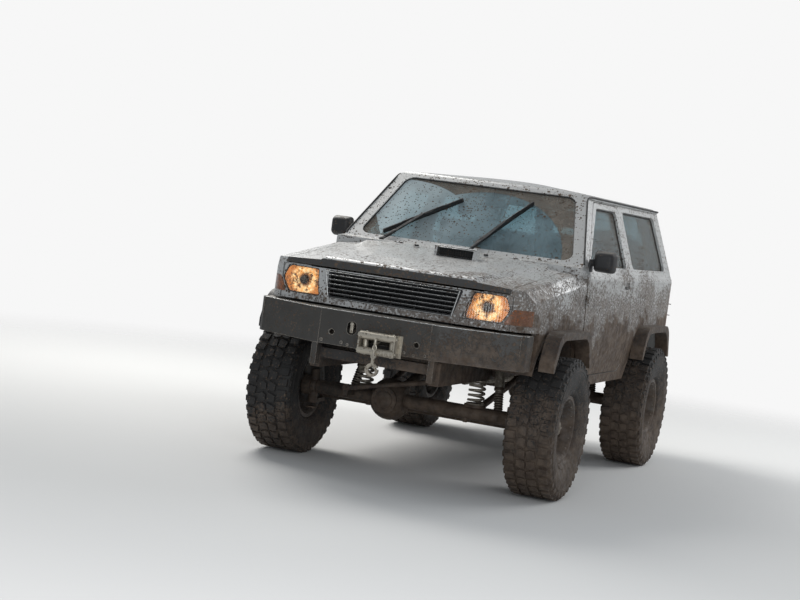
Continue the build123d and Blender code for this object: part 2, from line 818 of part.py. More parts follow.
def axle(station, diff_x, half, cover_side):
    """Tube, differential case, its cover on one side and the pinion's nose on the other, and spring pads."""
    whole = bar_x(-half, half, station, wheel_z, tube_radius)
    case = Pos(diff_x, st(station), wheel_z) * Sphere(case_radius)
    whole += case & block(diff_x - case_half, diff_x + case_half, station - case_face, station + case_face, 0,
                          wheel_z + case_radius)
    cover = station + cover_side * case_face
    whole += rod((diff_x, cover - cover_side * cover_wall / 2, wheel_z), (diff_x, cover + cover_side * cover_wall, wheel_z),
                 cover_radius)
    whole += rod((diff_x, station - cover_side * 50, wheel_z + 30), (diff_x, station - cover_side * 150, wheel_z + 52),
                 nose_radius)
    for side in (-1, 1):
        whole += Pos(side * spring_x, st(station), wheel_z + pad_top - pad_wall / 2) * Cylinder(pad_radius, pad_wall)
    return whole


front_axle = axle(0, -190, kingpin_half_width - 30, -1)
for side in (-1, 1):
    front_axle += Pos(side * kingpin_half_width, st(0), wheel_z) * Sphere(ball_radius)
rear_axle = axle(wheelbase, 0, half_track - 64, 1)
for side in (-1, 1):
    rear_axle += bar_x(*sorted((side * (half_track - 100), side * (half_track - 64))), wheelbase, wheel_z, 120)
    rear_axle += bar_x(*sorted((side * (half_track - 66), side * (half_track + 42))), wheelbase, wheel_z, hub_bore)
for side in (-1, 1):
    front_axle += block(side * 500 - 16, side * 500 + 16, 30, 150, wheel_z - 14, wheel_z + 10)
    rear_axle += block(side * 500 - 16, side * 500 + 16, wheelbase + 30, wheelbase + 150, wheel_z - 14, wheel_z + 10)
# Track bars run from a bracket on one end of the axle to the frame's other rail.
front_bar = -150
rear_bar = wheelbase + 90
bar_x_low = 440
bar_radius = 16
front_axle += block(-bar_x_low - 16, -bar_x_low + 16, front_bar - 20, -30, wheel_z - 10, wheel_z + 54)
rear_axle += block(bar_x_low - 16, bar_x_low + 16, wheelbase + 30, rear_bar + 20, wheel_z - 10, wheel_z + 54)
save("front_axle", front_axle)
save("rear_axle", rear_axle)

arm_back = 160
arm_half = 13
arm_low = wheel_z - 108
arm_top = wheel_z - 84
boss_radius = 30
cup_out = 66
spindle = [(8, 0), (8, 64), (cup_out, 64), (cup_out, hub_bore), (half_track - kingpin_half_width + 42, hub_bore),
           (half_track - kingpin_half_width + 42, 0)]
spindle_face = make_face(Polyline(*spindle, close=True).edges())
knuckle = revolve(Plane.XY * spindle_face, Axis.X, 360) + Cylinder(boss_radius, 220)
knuckle -= Sphere(ball_radius + run_gap)
knuckle = Pos(kingpin_half_width, st(0), wheel_z) * knuckle
arm_outline = [
    (kingpin_half_width - 26, 4), (kingpin_half_width - arm_half, arm_back + 18, 10),
    (kingpin_half_width + arm_half, arm_back + 18, 10), (kingpin_half_width + 26, 4),
]
knuckle += along_z(arm_outline, arm_low, arm_top)
save("knuckle_left", knuckle)
save("knuckle_right", mirrored(knuckle))
tie_rod = bar_x(-kingpin_half_width + 10, kingpin_half_width - 10, arm_back, arm_top + 20, 16)
for side in (-1, 1):
    tie_rod += Pos(side * kingpin_half_width, st(arm_back), arm_top + 18) * Sphere(20)
tie_rod -= block(-1000, 1000, arm_back - 60, arm_back + 60, 0, arm_top + run_gap)
save("tie_rod", tie_rod)

spring_radius = 56
spring_wire = 8
spring_turns = 4.5
spring_seat = 9


def coil_spring(height):
    """A helical spring of round wire between two round seats, standing on the origin."""
    climb = height - 2 * spring_seat
    path = Helix(climb / spring_turns, climb, spring_radius - spring_wire)
    start = Plane(origin=path @ 0, z_dir=path % 0)
    coil = Pos(0, 0, spring_seat) * sweep(start * Circle(spring_wire), path=path, is_frenet=True)
    for middle in (spring_seat / 2, height - spring_seat / 2):
        coil += Pos(0, 0, middle) * Cylinder(spring_radius + 2, spring_seat)
    return coil


spring = coil_spring(rail_low - wheel_z - pad_top)
springs = []
dampers = []
for station in (0, wheelbase):
    for side in (-1, 1):
        springs.append(Pos(side * spring_x, st(station), wheel_z + pad_top) * spring)
        lower, upper = (side * 500, station + 120, wheel_z + 12), (side * 456, station + 190, wheel_z + 296)
        middle = tuple((a + b) / 2 for a, b in zip(lower, upper))
        dampers.append(rod(lower, middle, 26) + rod(middle, upper, 32))
save("coil_springs", group(*springs))
save("dampers", group(*[damper - frame - front_axle - rear_axle for damper in dampers]))

links = []
for side in (-1, 1):
    links.append(rod((side * 330, 10, wheel_z - 40), (side * 380, front_link_end - 10, rail_low - 26), 22))
    links.append(rod((side * 470, wheelbase - 10, wheel_z - 40), (side * 380, rear_link_end + 10, rail_low - 26), 22))
for side, station in ((1, front_bar), (-1, rear_bar)):
    links.append(rod((-side * bar_x_low, station, wheel_z + 40), (side * 384, station, rail_low + 6), bar_radius))
save("suspension_links", group(*[link - frame - front_axle - rear_axle for link in links]))

shaft_z = wheel_z + 236
front_shaft = rod((-190, 100, wheel_z + 40), (-130, 700, shaft_z), 30) - front_axle
front_shaft -= block(-150, 150, 322, gearbox_end, wheel_z + 212, wheel_z + 374)
rear_shaft = rod((0, gearbox_end - 10, shaft_z), (0, wheelbase - 110, wheel_z + 40), 30) - rear_axle - engine - frame
save("prop_shafts", group(front_shaft, rear_shaft))


# Wheels
def ring(profile):
    """Rubber ring from a table of (x, radius) at polygonal sections, with a straight bore."""
    rings = []
    for x, radius in profile:
        rings.append((Plane.YZ.offset(x) * RegularPolygon(radius, tyre_sides)).wire())
    form = Solid.make_loft(rings, ruled=True)
    bore = extrude(Plane.YZ.offset(-200) * RegularPolygon(rim_radius + 10, tyre_sides), 400, dir=(1, 0, 0))
    return form - bore


tyre_radius = tyre_diameter / 2
half_width = tyre_width / 2
tyre_profile = [
    (-112, rim_radius + 16), (-half_width + 12, rim_radius + 60), (-half_width, 330),
    (-half_width + 6, 400), (-tread_width / 2, tyre_radius - 10), (-tread_width / 2 + 22, tyre_radius),
]
tyre_profile += [(-x, radius) for x, radius in reversed(tyre_profile)]
tyre = ring(tyre_profile)


def rim_profile():
    """Half section of the rim, hub and brake drum, as (x, radius) with the outside at +X."""
    return [
        (-rim_half_width - 10, rim_radius + 9), (-rim_half_width - 10, rim_radius - 12),
        (-rim_half_width + 6, rim_radius - 24), (40, rim_radius - 24), (rim_inset, rim_radius - 40),
        (-2, 120), (-2, hub_bore + run_gap + 0.2), (52, hub_bore + run_gap + 0.2), (52, 52), (14, 60),
        (14, 124), (rim_inset + 26, rim_radius - 38), (rim_half_width - 6, rim_radius - 22),
        (rim_half_width + 10, rim_radius - 12), (rim_half_width + 10, rim_radius + 9),
        (rim_half_width - 4, rim_radius + 9), (rim_half_width - 12, rim_radius - 6),
        (-rim_half_width + 12, rim_radius - 6), (-rim_half_width + 4, rim_radius + 9),
    ]


rim_face = make_face(Polyline(*rim_profile(), close=True).edges())
rim = revolve(Plane.XY * rim_face, Axis.X, 360)
for turn in range(8):
    hole = Pos(20, 0, 0) * Rot(45 * turn + 22.5, 0, 0) * Pos(0, 140, 0) * Rot(0, 90, 0) * Cylinder(22, 120)
    rim -= hole


def wheel(shape, side, station):
    turned = shape if side > 0 else Rot(0, 0, 180) * shape
    return Pos(side * half_track, st(station), wheel_z) * turned


for end, station in (("front", 0), ("rear", wheelbase)):
    for name, side in (("left", 1), ("right", -1)):
        save(f"tyre_{end}_{name}", wheel(tyre, side, station))
        save(f"rim_{end}_{name}", wheel(rim, side, station))

spare_centre = Pos(spare_x, st(tail_station + spare_gap) + half_width, spare_z)
spare_turn = Rot(0, 0, 90)
save("spare_tyre", spare_centre * spare_turn * tyre)
spare_rim = spare_centre * spare_turn * rim
carrier_reach = spare_gap + half_width + 9
carrier = Pos(spare_x, st(tail_station) - 10 + carrier_reach / 2, spare_z) * Rot(90, 0, 0) * Cylinder(
    90, carrier_reach)
save("spare_rim", spare_rim + (carrier - rear_door_large))


# Inside of the cab
seat_z = floor_z + floor_wall
front_seats = []
for side in (-1, 1):
    x = side * 370
    seat = along_x([(1010, seat_z + 190, 40), (1510, seat_z + 160, 40), (1510, seat_z + 300, 40),
                    (1010, seat_z + 340, 50)], x - 255, x + 255)
    seat += along_x([(1440, seat_z + 220, 40), (1560, seat_z + 220, 40), (1700, seat_z + 800, 50),
                     (1590, seat_z + 820, 50)], x - 245, x + 245)
    seat += along_x([(1620, seat_z + 790, 20), (1690, seat_z + 780, 20), (1722, seat_z + 960, 40),
                     (1640, seat_z + 975, 40)], x - 130, x + 130)
    seat += block(x - 220, x + 220, 1060, 1470, seat_z, seat_z + 200)
    front_seats.append(seat)
save("front_seats", group(*front_seats))

bench_front = wheelbase - 320
bench = along_x([(bench_front, seat_z, 20), (bench_front, seat_z + 330, 60), (bench_front + 400, seat_z + 300, 30),
                 (bench_front + 480, seat_z + 780, 50), (bench_front + 600, seat_z + 770, 50),
                 (bench_front + 520, seat_z, 20)], -560, 560)
save("rear_bench", bench)

dash = along_x([(cab_front + firewall, seat_z + 200), (cab_front + firewall, belt_z - 34, 10),
                (640, belt_z - 46, 60), (712, belt_z - 110, 60), (640, seat_z + 250, 40)], -770, 770)

wheel_x = -370
steer_lean = 24
steering = Torus(185, 15) + Cylinder(46, 26)
for spoke in (0, 120, 240):
    steering += Rot(0, 0, spoke + 90) * Pos(95, 0, 0) * Box(180, 26, 12)
steer_centre = (wheel_x, st(905), belt_z - 62)
steer_frame = Pos(*steer_centre) * Rot(-90 + steer_lean, 0, 0)
steering += Pos(0, 0, -40) * Cylinder(16, 60)
save("steering_wheel", steer_frame * steering)
column = steer_frame * Pos(0, 0, -70 - run_gap - 120) * Cylinder(32, 240)
hood_half = 170
dash += along_x([(560, belt_z - 60), (556, belt_z + 2, 30), (690, belt_z + 12, 30), (716, belt_z - 90, 12),
                 (640, belt_z - 110)], wheel_x - hood_half, wheel_x + hood_half)
dash -= along_x([(664, belt_z - 84), (658, belt_z - 8, 10), (760, belt_z + 4), (760, belt_z - 96)],
                wheel_x - hood_half + 18, wheel_x + hood_half - 18)
stack_half = 150
dash += along_x([(600, seat_z + 190, 20), (640, belt_z - 120), (716, belt_z - 120, 14), (668, seat_z + 170, 20)],
                -stack_half, stack_half)
save("dashboard", dash + (column & block(-500, -200, 400, 900, 0, 2000)))


# Mirrors on the doors
mirror_arm = block(790, 880, door_front + 96, door_front + 142, belt_z + 2, belt_z + 40) - cab_form(
    0, 0, 0, 0, sill_z)
housing = along_y([(850, belt_z + 22, 22), (992, belt_z + 22, 34), (992, belt_z + 134, 34), (850, belt_z + 134, 22)],
                  door_front + 78, door_front + 160)
mirror_glass = along_y([(862, belt_z + 34, 14), (980, belt_z + 34, 26), (980, belt_z + 122, 26),
                        (862, belt_z + 122, 14)], door_front + 154, door_front + 170)
mirror_left = mirror_arm + housing - mirror_glass
save("mirror_left", mirror_left)
save("mirror_right", mirrored(mirror_left))

# Wipers, resting halfway over the screen: arm from its pivot to the middle of the blade
blade_side = 14
arm_side = 18
wiper_table = ((-560, -582, 66, -142, 463), (60, 80, 67, 343, 519))


def bar_on_screen(start, end, wide, low, high):
    """Flat bar between two points of the windscreen's plane, from low to high above the glass."""
    run = Vector(*end) - Vector(*start)
    middle = (Vector(*end) + Vector(*start)) / 2
    angle = math.degrees(math.atan2(run.Y, run.X))
    return Pos(middle.X, middle.Y, (low + high) / 2) * Rot(0, 0, angle) * Box(run.length, wide, high - low)


wipers = []
for pivot_x, low_x, low_rise, tip_x, tip_rise in wiper_table:
    pivot = (pivot_x, -26)
    blade_middle = ((low_x + tip_x) / 2, (low_rise + tip_rise) / 2)
    wiper = bar_on_screen((low_x, low_rise), (tip_x, tip_rise), blade_side, 2, 20)
    wiper += bar_on_screen(pivot, blade_middle, arm_side, 18, 28)
    wiper += Pos(*pivot, 7) * Cylinder(14, 42)
    wipers.append(screen_plane.location * wiper - cab_form(0, 0, 0, 0, sill_z))
save("wipers", group(*wipers))

tail_lamp = tail_lamp_box(0) & cab_form(0, 0, 0, 0, sill_z) - cab_form(side_wall, firewall, side_wall, roof_wall, floor_z)
save("tail_lamps", pair(tail_lamp))

bumper_gap = 12
rear_face = tail_station + 130
rear_low = sill_z - 20
rear_top = sill_z + 120


def rear_bumper_form(inset):
    """Folded plate with swept ends, as one solid, smaller by inset all round."""
    front = tail_station + bumper_gap
    plan = both([(840 - inset, front), (840 - inset, front + 40 - inset, 30), (730 - inset, rear_face - inset, 60)])
    section = [(front, rear_low + inset), (rear_face - inset, rear_low + inset, 16),
               (rear_face - inset, rear_top - inset, 16), (front, rear_top - inset)]
    return along_z(plan, rear_low, rear_top) & along_x(section, -900, 900)


rear_bumper = rear_bumper_form(0) - rear_bumper_form(plate)
for side in (-1, 1):
    rear_bumper += block(*sorted((side * 352, side * 410)), frame_end, rear_face - plate, sill_z, sill_z + 110)
save("rear_bumper", rear_bumper)
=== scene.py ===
"""Dresses a lifted, muddy three-door off-road vehicle, piece by piece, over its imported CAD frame."""
import math

import bmesh
import bpy
from mathutils import Matrix, Vector


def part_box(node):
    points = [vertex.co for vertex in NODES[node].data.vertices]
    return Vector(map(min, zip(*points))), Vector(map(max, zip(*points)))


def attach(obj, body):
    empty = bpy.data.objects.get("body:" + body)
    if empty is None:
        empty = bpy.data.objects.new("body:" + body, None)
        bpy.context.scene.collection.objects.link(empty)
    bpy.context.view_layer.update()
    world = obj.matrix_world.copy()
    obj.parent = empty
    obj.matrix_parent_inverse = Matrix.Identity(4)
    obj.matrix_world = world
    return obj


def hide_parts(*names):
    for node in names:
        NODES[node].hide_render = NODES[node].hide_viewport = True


bl_info = {
    "name": "Off-road vehicle dressing",
    "version": (1, 0, 0),
    "blender": (4, 5, 0),
    "location": "View3D > Sidebar > Vehicle",
    "description": "Adds tyres, lamps, seats, seals, mud and other looks to the vehicle's frame",
    "category": "Object",
}

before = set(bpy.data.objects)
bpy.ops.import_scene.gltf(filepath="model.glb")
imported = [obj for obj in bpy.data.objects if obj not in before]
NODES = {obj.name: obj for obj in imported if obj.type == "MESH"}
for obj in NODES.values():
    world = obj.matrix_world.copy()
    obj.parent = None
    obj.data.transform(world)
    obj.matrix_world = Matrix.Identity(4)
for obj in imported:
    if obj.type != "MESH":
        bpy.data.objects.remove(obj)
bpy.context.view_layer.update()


def middle(node):
    """Centre of a CAD node's box."""
    low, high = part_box(node)
    return (low + high) / 2


FRONT_AXLE = middle("tyre_front_left").y
REAR_AXLE = middle("tyre_rear_left").y
WHEEL_Z = middle("tyre_front_left").z
TYRE_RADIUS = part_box("tyre_front_left")[1].z - WHEEL_Z
SIDES = (("left", 1), ("right", -1))


def at(x, station, height):
    """A point from its distance behind the front axle and above the wheel centres, in metres."""
    return Vector((x, FRONT_AXLE + station, WHEEL_Z + height))


# Heights above the wheel centres, stations behind the front axle and half widths, as the solids have them
NOSE_LOW, HOOD_LIP = 0.590, 0.800
BELT, GUTTER = 0.980, 1.480
FLOOR = 0.380
SCREEN_FOOT, SCREEN_HEAD = 0.440, 0.925
DOOR_FRONT, DOOR_REAR = 0.470, REAR_AXLE - FRONT_AXLE - 0.660
TAIL = REAR_AXLE - FRONT_AXLE + 0.745
BELT_HALF, GUTTER_HALF = 0.848, 0.672
BUMPER_STATION, BUMPER_LOW, BUMPER_TOP = -0.930, 0.450, 0.576
WINCH_X, WINCH_STATION, WINCH_Z = 0.050, -0.835, 0.446
FAIR_Z = 0.414
HOOK_STATION, HOOK_Z = -1.023, 0.266
KINGPIN = 0.730
LAMP_X, LAMP_Z = 0.592, 0.712
CABIN_FLOOR = FLOOR + 0.040
SEAT_X, WHEEL_X = 0.370, -0.370
# Wipers on the windscreen's plane: pivot, lower end and tip of the blade, as (across, up the slope)
WIPERS = (((-0.560, -0.026), (-0.582, 0.066), (-0.142, 0.463)),
          ((0.060, -0.026), (0.080, 0.067), (0.343, 0.519)))


def leaning(origin, across, outward):
    """A local frame on a slanted surface: x across, y up the slope, z outwards."""
    across = Vector(across).normalized()
    outward = Vector(outward).normalized()
    up = outward.cross(across)
    return Matrix.Translation(origin) @ Matrix((across, up, outward)).transposed().to_4x4()


SCREEN_RISE = GUTTER + 0.010 - BELT - 0.025
SCREEN_RUN = SCREEN_HEAD - SCREEN_FOOT
SCREEN = leaning(at(0, SCREEN_FOOT, BELT + 0.025), (1, 0, 0), (0, -SCREEN_RISE, SCREEN_RUN))
SIDE = leaning(at(BELT_HALF, 0, BELT), (0, 1, 0), (GUTTER - BELT, 0, BELT_HALF - GUTTER_HALF))
FLIP = Matrix.Diagonal((-1.0, 1.0, 1.0, 1.0))


# Settings that a user would change


class BodySettings(bpy.types.PropertyGroup):
    paint: bpy.props.FloatVectorProperty(name="Paint", description="Colour of the body paint",
                                         subtype="COLOR", size=3, default=(0.50, 0.50, 0.49))
    trim: bpy.props.FloatVectorProperty(name="Trim", description="Colour of black plastic", subtype="COLOR",
                                        size=3, default=(0.018, 0.018, 0.019))
    seal_radius: bpy.props.FloatProperty(
        name="Seal", description="Half thickness of a window seal", unit="LENGTH", default=0.007)


class MudSettings(bpy.types.PropertyGroup):
    wet: bpy.props.FloatVectorProperty(name="Wet mud", description="Colour of fresh mud", subtype="COLOR",
                                       size=3, default=(0.050, 0.031, 0.020))
    dry: bpy.props.FloatVectorProperty(name="Dry mud", description="Colour of dried mud", subtype="COLOR",
                                       size=3, default=(0.125, 0.089, 0.062))
    line: bpy.props.FloatProperty(
        name="Mud line", description="Height up to which mud covers the sides", unit="LENGTH", default=1.02)


class TyreSettings(bpy.types.PropertyGroup):
    pitches: bpy.props.IntProperty(
        name="Pitches", description="Number of lugs round the tread", default=38)
    lug_height: bpy.props.FloatProperty(
        name="Lug height", description="Depth of the tread", unit="LENGTH", default=0.0125)


class SeatSettings(bpy.types.PropertyGroup):
    cloth: bpy.props.FloatVectorProperty(name="Cloth", description="Colour of the cushion cloth",
                                         subtype="COLOR", size=3, default=(0.075, 0.078, 0.085))
    swell: bpy.props.FloatProperty(
        name="Swell", description="How far padding may bulge", unit="LENGTH", default=0.016)


class StageSettings(bpy.types.PropertyGroup):
    ground: bpy.props.FloatVectorProperty(
        name="Ground", description="Colour of the floor", subtype="COLOR", size=3, default=(0.72, 0.72, 0.71))
    key: bpy.props.FloatProperty(
        name="Key light", description="Power of the largest lamp", unit="POWER", default=520.0)


SETTINGS = {
    "vehicle_body": BodySettings,
    "vehicle_mud": MudSettings,
    "vehicle_tyre": TyreSettings,
    "vehicle_seat": SeatSettings,
    "vehicle_stage": StageSettings,
}


def chosen(name):
    """The scene's settings of one kind."""
    return getattr(bpy.context.scene, name)


# Shader helpers


def feed(tree, sockets, values):
    """Links or fills input sockets."""
    for socket, value in values.items():
        if isinstance(value, bpy.types.NodeSocket):
            tree.links.new(value, sockets[socket])
        else:
            sockets[socket].default_value = value


def add_node(tree, kind, links=None, **values):
    """A node with its properties set and its inputs linked or filled."""
    made = tree.nodes.new(kind)
    for key, value in values.items():
        setattr(made, key, value)
    feed(tree, made.inputs, links or {})
    return made


def calc(tree, operation, a, b=0.0, c=0.0, clamp=False):
    """One arithmetic step."""
    made = add_node(tree, "ShaderNodeMath", {0: a, 1: b, 2: c}, operation=operation, use_clamp=clamp)
    return made.outputs[0]


def ramp(tree, value, low, high, to_low=0.0, to_high=1.0):
    """A smooth step of a value between two limits."""
    made = add_node(tree, "ShaderNodeMapRange",
                    {"Value": value, "From Min": low, "From Max": high, "To Min": to_low, "To Max": to_high},
                    interpolation_type="SMOOTHSTEP")
    return made.outputs["Result"]


def noise_of(tree, where, scale, detail=4.0, rough=0.55, stretch=(1.0, 1.0, 1.0)):
    """Soft noise at a place, stretched along the axes."""
    mapped = add_node(tree, "ShaderNodeMapping", {"Vector": where, "Scale": stretch})
    made = add_node(tree, "ShaderNodeTexNoise",
                    {"Vector": mapped.outputs[0], "Scale": scale, "Detail": detail, "Roughness": rough})
    return made.outputs["Fac"]


def blend_colour(tree, factor, a, b):
    """A mix of two colours."""
    a, b = (value if isinstance(value, bpy.types.NodeSocket) else (*value[:3], 1.0) for value in (a, b))
    return add_node(tree, "ShaderNodeMix", {0: factor, 6: a, 7: b}, data_type="RGBA").outputs[2]


def bump_from(tree, shader, height, distance, strength=1.0):
    """Shades a surface as if it were raised by a height."""
    bumped = add_node(tree, "ShaderNodeBump", {"Strength": strength, "Distance": distance, "Height": height})
    tree.links.new(bumped.outputs[0], shader.inputs["Normal"])


def start_group(name, inputs, outputs):
    """An empty node group with named sockets, as (tree, input sockets, output node)."""
    tree = bpy.data.node_groups.new(name, "ShaderNodeTree")
    for kind, rows in (("INPUT", inputs), ("OUTPUT", outputs)):
        for socket, form in rows:
            tree.interface.new_socket(socket, in_out=kind, socket_type=form)
    return tree, tree.nodes.new("NodeGroupInput").outputs, tree.nodes.new("NodeGroupOutput")


NUMBER, COLOUR = "NodeSocketFloat", "NodeSocketColor"


def object_place(tree):
    """The place in the object's own frame."""
    return add_node(tree, "ShaderNodeTexCoord").outputs["Object"]


def mud_group():
    """Mud that lies thick below a line, in a splash above it, and as fine specks everywhere."""
    name = "Mud cover"
    if name in bpy.data.node_groups:
        return bpy.data.node_groups[name]
    tree, given, out = start_group(
        name, [("Line", NUMBER), ("Amount", NUMBER), ("Specks", NUMBER), ("Wet", COLOUR), ("Dry", COLOUR)],
        [("Mask", NUMBER), ("Colour", COLOUR), ("Height", NUMBER)])
    where = object_place(tree)
    parts = add_node(tree, "ShaderNodeSeparateXYZ", {0: where})
    height = parts.outputs["Z"]
    broad = noise_of(tree, where, 2.6, 5.0, 0.62)
    streaks = noise_of(tree, where, 9.0, 6.0, 0.7, (1.0, 0.35, 1.0))
    edge = calc(tree, "MULTIPLY_ADD", calc(tree, "SUBTRACT", broad, 0.5), 0.9,
                calc(tree, "MULTIPLY", calc(tree, "SUBTRACT", streaks, 0.5), 0.7))
    leftwards = ramp(tree, parts.outputs["X"], -0.85, 0.85, -0.28, 0.12)
    raised = calc(tree, "ADD", given["Line"], leftwards)
    above = calc(tree, "SUBTRACT", calc(tree, "SUBTRACT", height, raised), edge)
    thick = ramp(tree, above, 0.05, -0.12)
    splash = ramp(tree, above, 0.75, 0.0)
    fine = noise_of(tree, where, 60.0, 3.0, 0.7)
    stir = add_node(tree, "ShaderNodeTexNoise",
                    {"Vector": where, "Scale": 130.0, "Detail": 3.0, "Roughness": 0.7})
    shifted = add_node(tree, "ShaderNodeVectorMath",
                       {0: stir.outputs["Color"], 1: (0.009, 0.009, 0.009), 2: where},
                       operation="MULTIPLY_ADD").outputs[0]
    dots = add_node(tree, "ShaderNodeTexVoronoi", {"Vector": shifted, "Scale": 72.0, "Randomness": 1.0})
    drops = add_node(tree, "ShaderNodeTexVoronoi", {"Vector": shifted, "Scale": 27.0, "Randomness": 1.0})
    dot_size = calc(tree, "MULTIPLY_ADD", add_node(
        tree, "ShaderNodeSeparateXYZ", {0: dots.outputs["Color"]}).outputs["X"], 0.66, -0.10)
    drop_size = calc(tree, "MULTIPLY_ADD", add_node(
        tree, "ShaderNodeSeparateXYZ", {0: drops.outputs["Color"]}).outputs["Y"], 0.58, -0.24)
    cluster = ramp(tree, noise_of(tree, where, 3.5, 3.0, 0.6), 0.30, 0.70, 0.55, 1.0)
    reach = calc(tree, "MULTIPLY", cluster, given["Specks"])
    dot_mask = ramp(tree, calc(tree, "SUBTRACT", calc(tree, "MULTIPLY", dot_size, reach),
                               dots.outputs["Distance"]), -0.02, 0.03)
    drop_mask = ramp(tree, calc(tree, "SUBTRACT", calc(tree, "MULTIPLY", drop_size, reach),
                                drops.outputs["Distance"]), -0.02, 0.03)
    torn = ramp(tree, calc(tree, "MULTIPLY", splash, fine), 0.36, 0.50)
    cover = calc(tree, "MAXIMUM", thick, calc(tree, "MAXIMUM", calc(tree, "MULTIPLY", torn, 0.8),
                                             calc(tree, "MAXIMUM", dot_mask, drop_mask)))
    mask = calc(tree, "MULTIPLY", cover, given["Amount"], clamp=True)
    tone = ramp(tree, noise_of(tree, where, 14.0, 5.0, 0.65), 0.30, 0.70)
    colour = blend_colour(tree, tone, given["Wet"], given["Dry"])
    lumps = calc(tree, "MULTIPLY", mask, calc(tree, "MULTIPLY_ADD", fine, 0.8, 0.5))
    feed(tree, out.inputs, {"Mask": mask, "Colour": colour, "Height": lumps})
    return tree


def wear_group():
    """Bare metal along edges, broken up by noise."""
    name = "Edge wear"
    if name in bpy.data.node_groups:
        return bpy.data.node_groups[name]
    tree, given, out = start_group(name, [("Width", NUMBER), ("Amount", NUMBER)], [("Mask", NUMBER)])
    where = object_place(tree)
    rounded = add_node(tree, "ShaderNodeBevel", {"Radius": given["Width"]}, samples=4)
    true_side = add_node(tree, "ShaderNodeNewGeometry").outputs["Normal"]
    facing = add_node(tree, "ShaderNodeVectorMath", {0: rounded.outputs[0], 1: true_side},
                      operation="DOT_PRODUCT")
    bend = calc(tree, "SUBTRACT", 1.0, facing.outputs["Value"])
    chips = noise_of(tree, where, 22.0, 6.0, 0.7)
    worn = ramp(tree, calc(tree, "MULTIPLY_ADD", bend, 1.6, calc(tree, "MULTIPLY_ADD", chips, 0.7, -0.42)),
                0.05, 0.16)
    mask = calc(tree, "MULTIPLY", calc(tree, "MULTIPLY", worn, ramp(tree, bend, 0.01, 0.05)), given["Amount"],
                clamp=True)
    tree.links.new(mask, out.inputs["Mask"])
    return tree


def grain_group():
    """Fine moulded or cast grain, as a height."""
    name = "Grain"
    if name in bpy.data.node_groups:
        return bpy.data.node_groups[name]
    tree, given, out = start_group(name, [("Scale", NUMBER), ("Depth", NUMBER)], [("Height", NUMBER)])
    where = object_place(tree)
    cells = add_node(tree, "ShaderNodeTexVoronoi", {"Vector": where, "Scale": given["Scale"]},
                     feature="SMOOTH_F1")
    soft = add_node(tree, "ShaderNodeTexNoise", {"Vector": where, "Scale": given["Scale"], "Detail": 3.0})
    height = calc(tree, "MULTIPLY", calc(tree, "ADD", cells.outputs["Distance"], soft.outputs["Fac"]),
                  given["Depth"])
    tree.links.new(height, out.inputs["Height"])
    return tree


def dust_group():
    """Pale dust that settles on surfaces that face up."""
    name = "Settled dust"
    if name in bpy.data.node_groups:
        return bpy.data.node_groups[name]
    tree, given, out = start_group(name, [("Amount", NUMBER)], [("Mask", NUMBER)])
    place = add_node(tree, "ShaderNodeTexCoord").outputs
    upward = add_node(tree, "ShaderNodeSeparateXYZ", {0: place["Normal"]}).outputs["Z"]
    patches = ramp(tree, noise_of(tree, place["Object"], 18.0, 5.0, 0.65), 0.25, 0.65, 0.25, 1.0)
    mask = calc(tree, "MULTIPLY", calc(tree, "MULTIPLY", ramp(tree, upward, 0.70, 0.98), patches),
                given["Amount"], clamp=True)
    tree.links.new(mask, out.inputs["Mask"])
    return tree


def weave_group():
    """Crossed threads, as a height and as a mask of the threads on top."""
    name = "Weave"
    if name in bpy.data.node_groups:
        return bpy.data.node_groups[name]
    tree, given, out = start_group(name, [("Scale", NUMBER)], [("Height", NUMBER), ("Mask", NUMBER)])
    where = object_place(tree)
    sizes = {"Vector": where, "Scale": given["Scale"], "Distortion": 0.6}
    bands = [add_node(tree, "ShaderNodeTexWave", sizes, bands_direction=axis).outputs["Fac"]
             for axis in ("X", "DIAGONAL")]
    height = calc(tree, "MAXIMUM", *bands)
    tree.links.new(height, out.inputs["Height"])
    tree.links.new(calc(tree, "GREATER_THAN", bands[0], bands[1]), out.inputs["Mask"])
    return tree


def out_of_cabin(tree):
    """Zero on faces that look towards the middle of the cabin, one on those that look away from it."""
    place = add_node(tree, "ShaderNodeTexCoord").outputs
    offset = add_node(tree, "ShaderNodeVectorMath", {0: place["Object"], 1: tuple(at(0.0, 1.750, 1.000))},
                      operation="SUBTRACT").outputs[0]
    outward = add_node(tree, "ShaderNodeVectorMath", {0: offset}, operation="NORMALIZE").outputs[0]
    facing = add_node(tree, "ShaderNodeVectorMath", {0: outward, 1: place["Normal"]}, operation="DOT_PRODUCT")
    return ramp(tree, facing.outputs["Value"], -0.24, -0.08)


def use_group(tree, group, **links):
    """The outputs of a shader group, with its inputs linked or filled."""
    return add_node(tree, "ShaderNodeGroup", links, node_tree=group).outputs


def new_material(name):
    """A new material, with its node tree and its surface shader."""
    made = bpy.data.materials.new(name)
    made.use_nodes = True
    tree = made.node_tree
    return made, tree, tree.nodes["Principled BSDF"]


def mud_cover(tree, line, amount, specks):
    """The mud group's outputs, with the two colours that a user chose."""
    settings = chosen("vehicle_mud")
    return use_group(tree, mud_group(), Line=line, Amount=amount, Specks=specks, Wet=(*settings.wet, 1.0),
                     Dry=(*settings.dry, 1.0))


DUST_COLOUR = (0.30, 0.275, 0.24)
CLEARCOAT_ROUGHNESS = 0.12


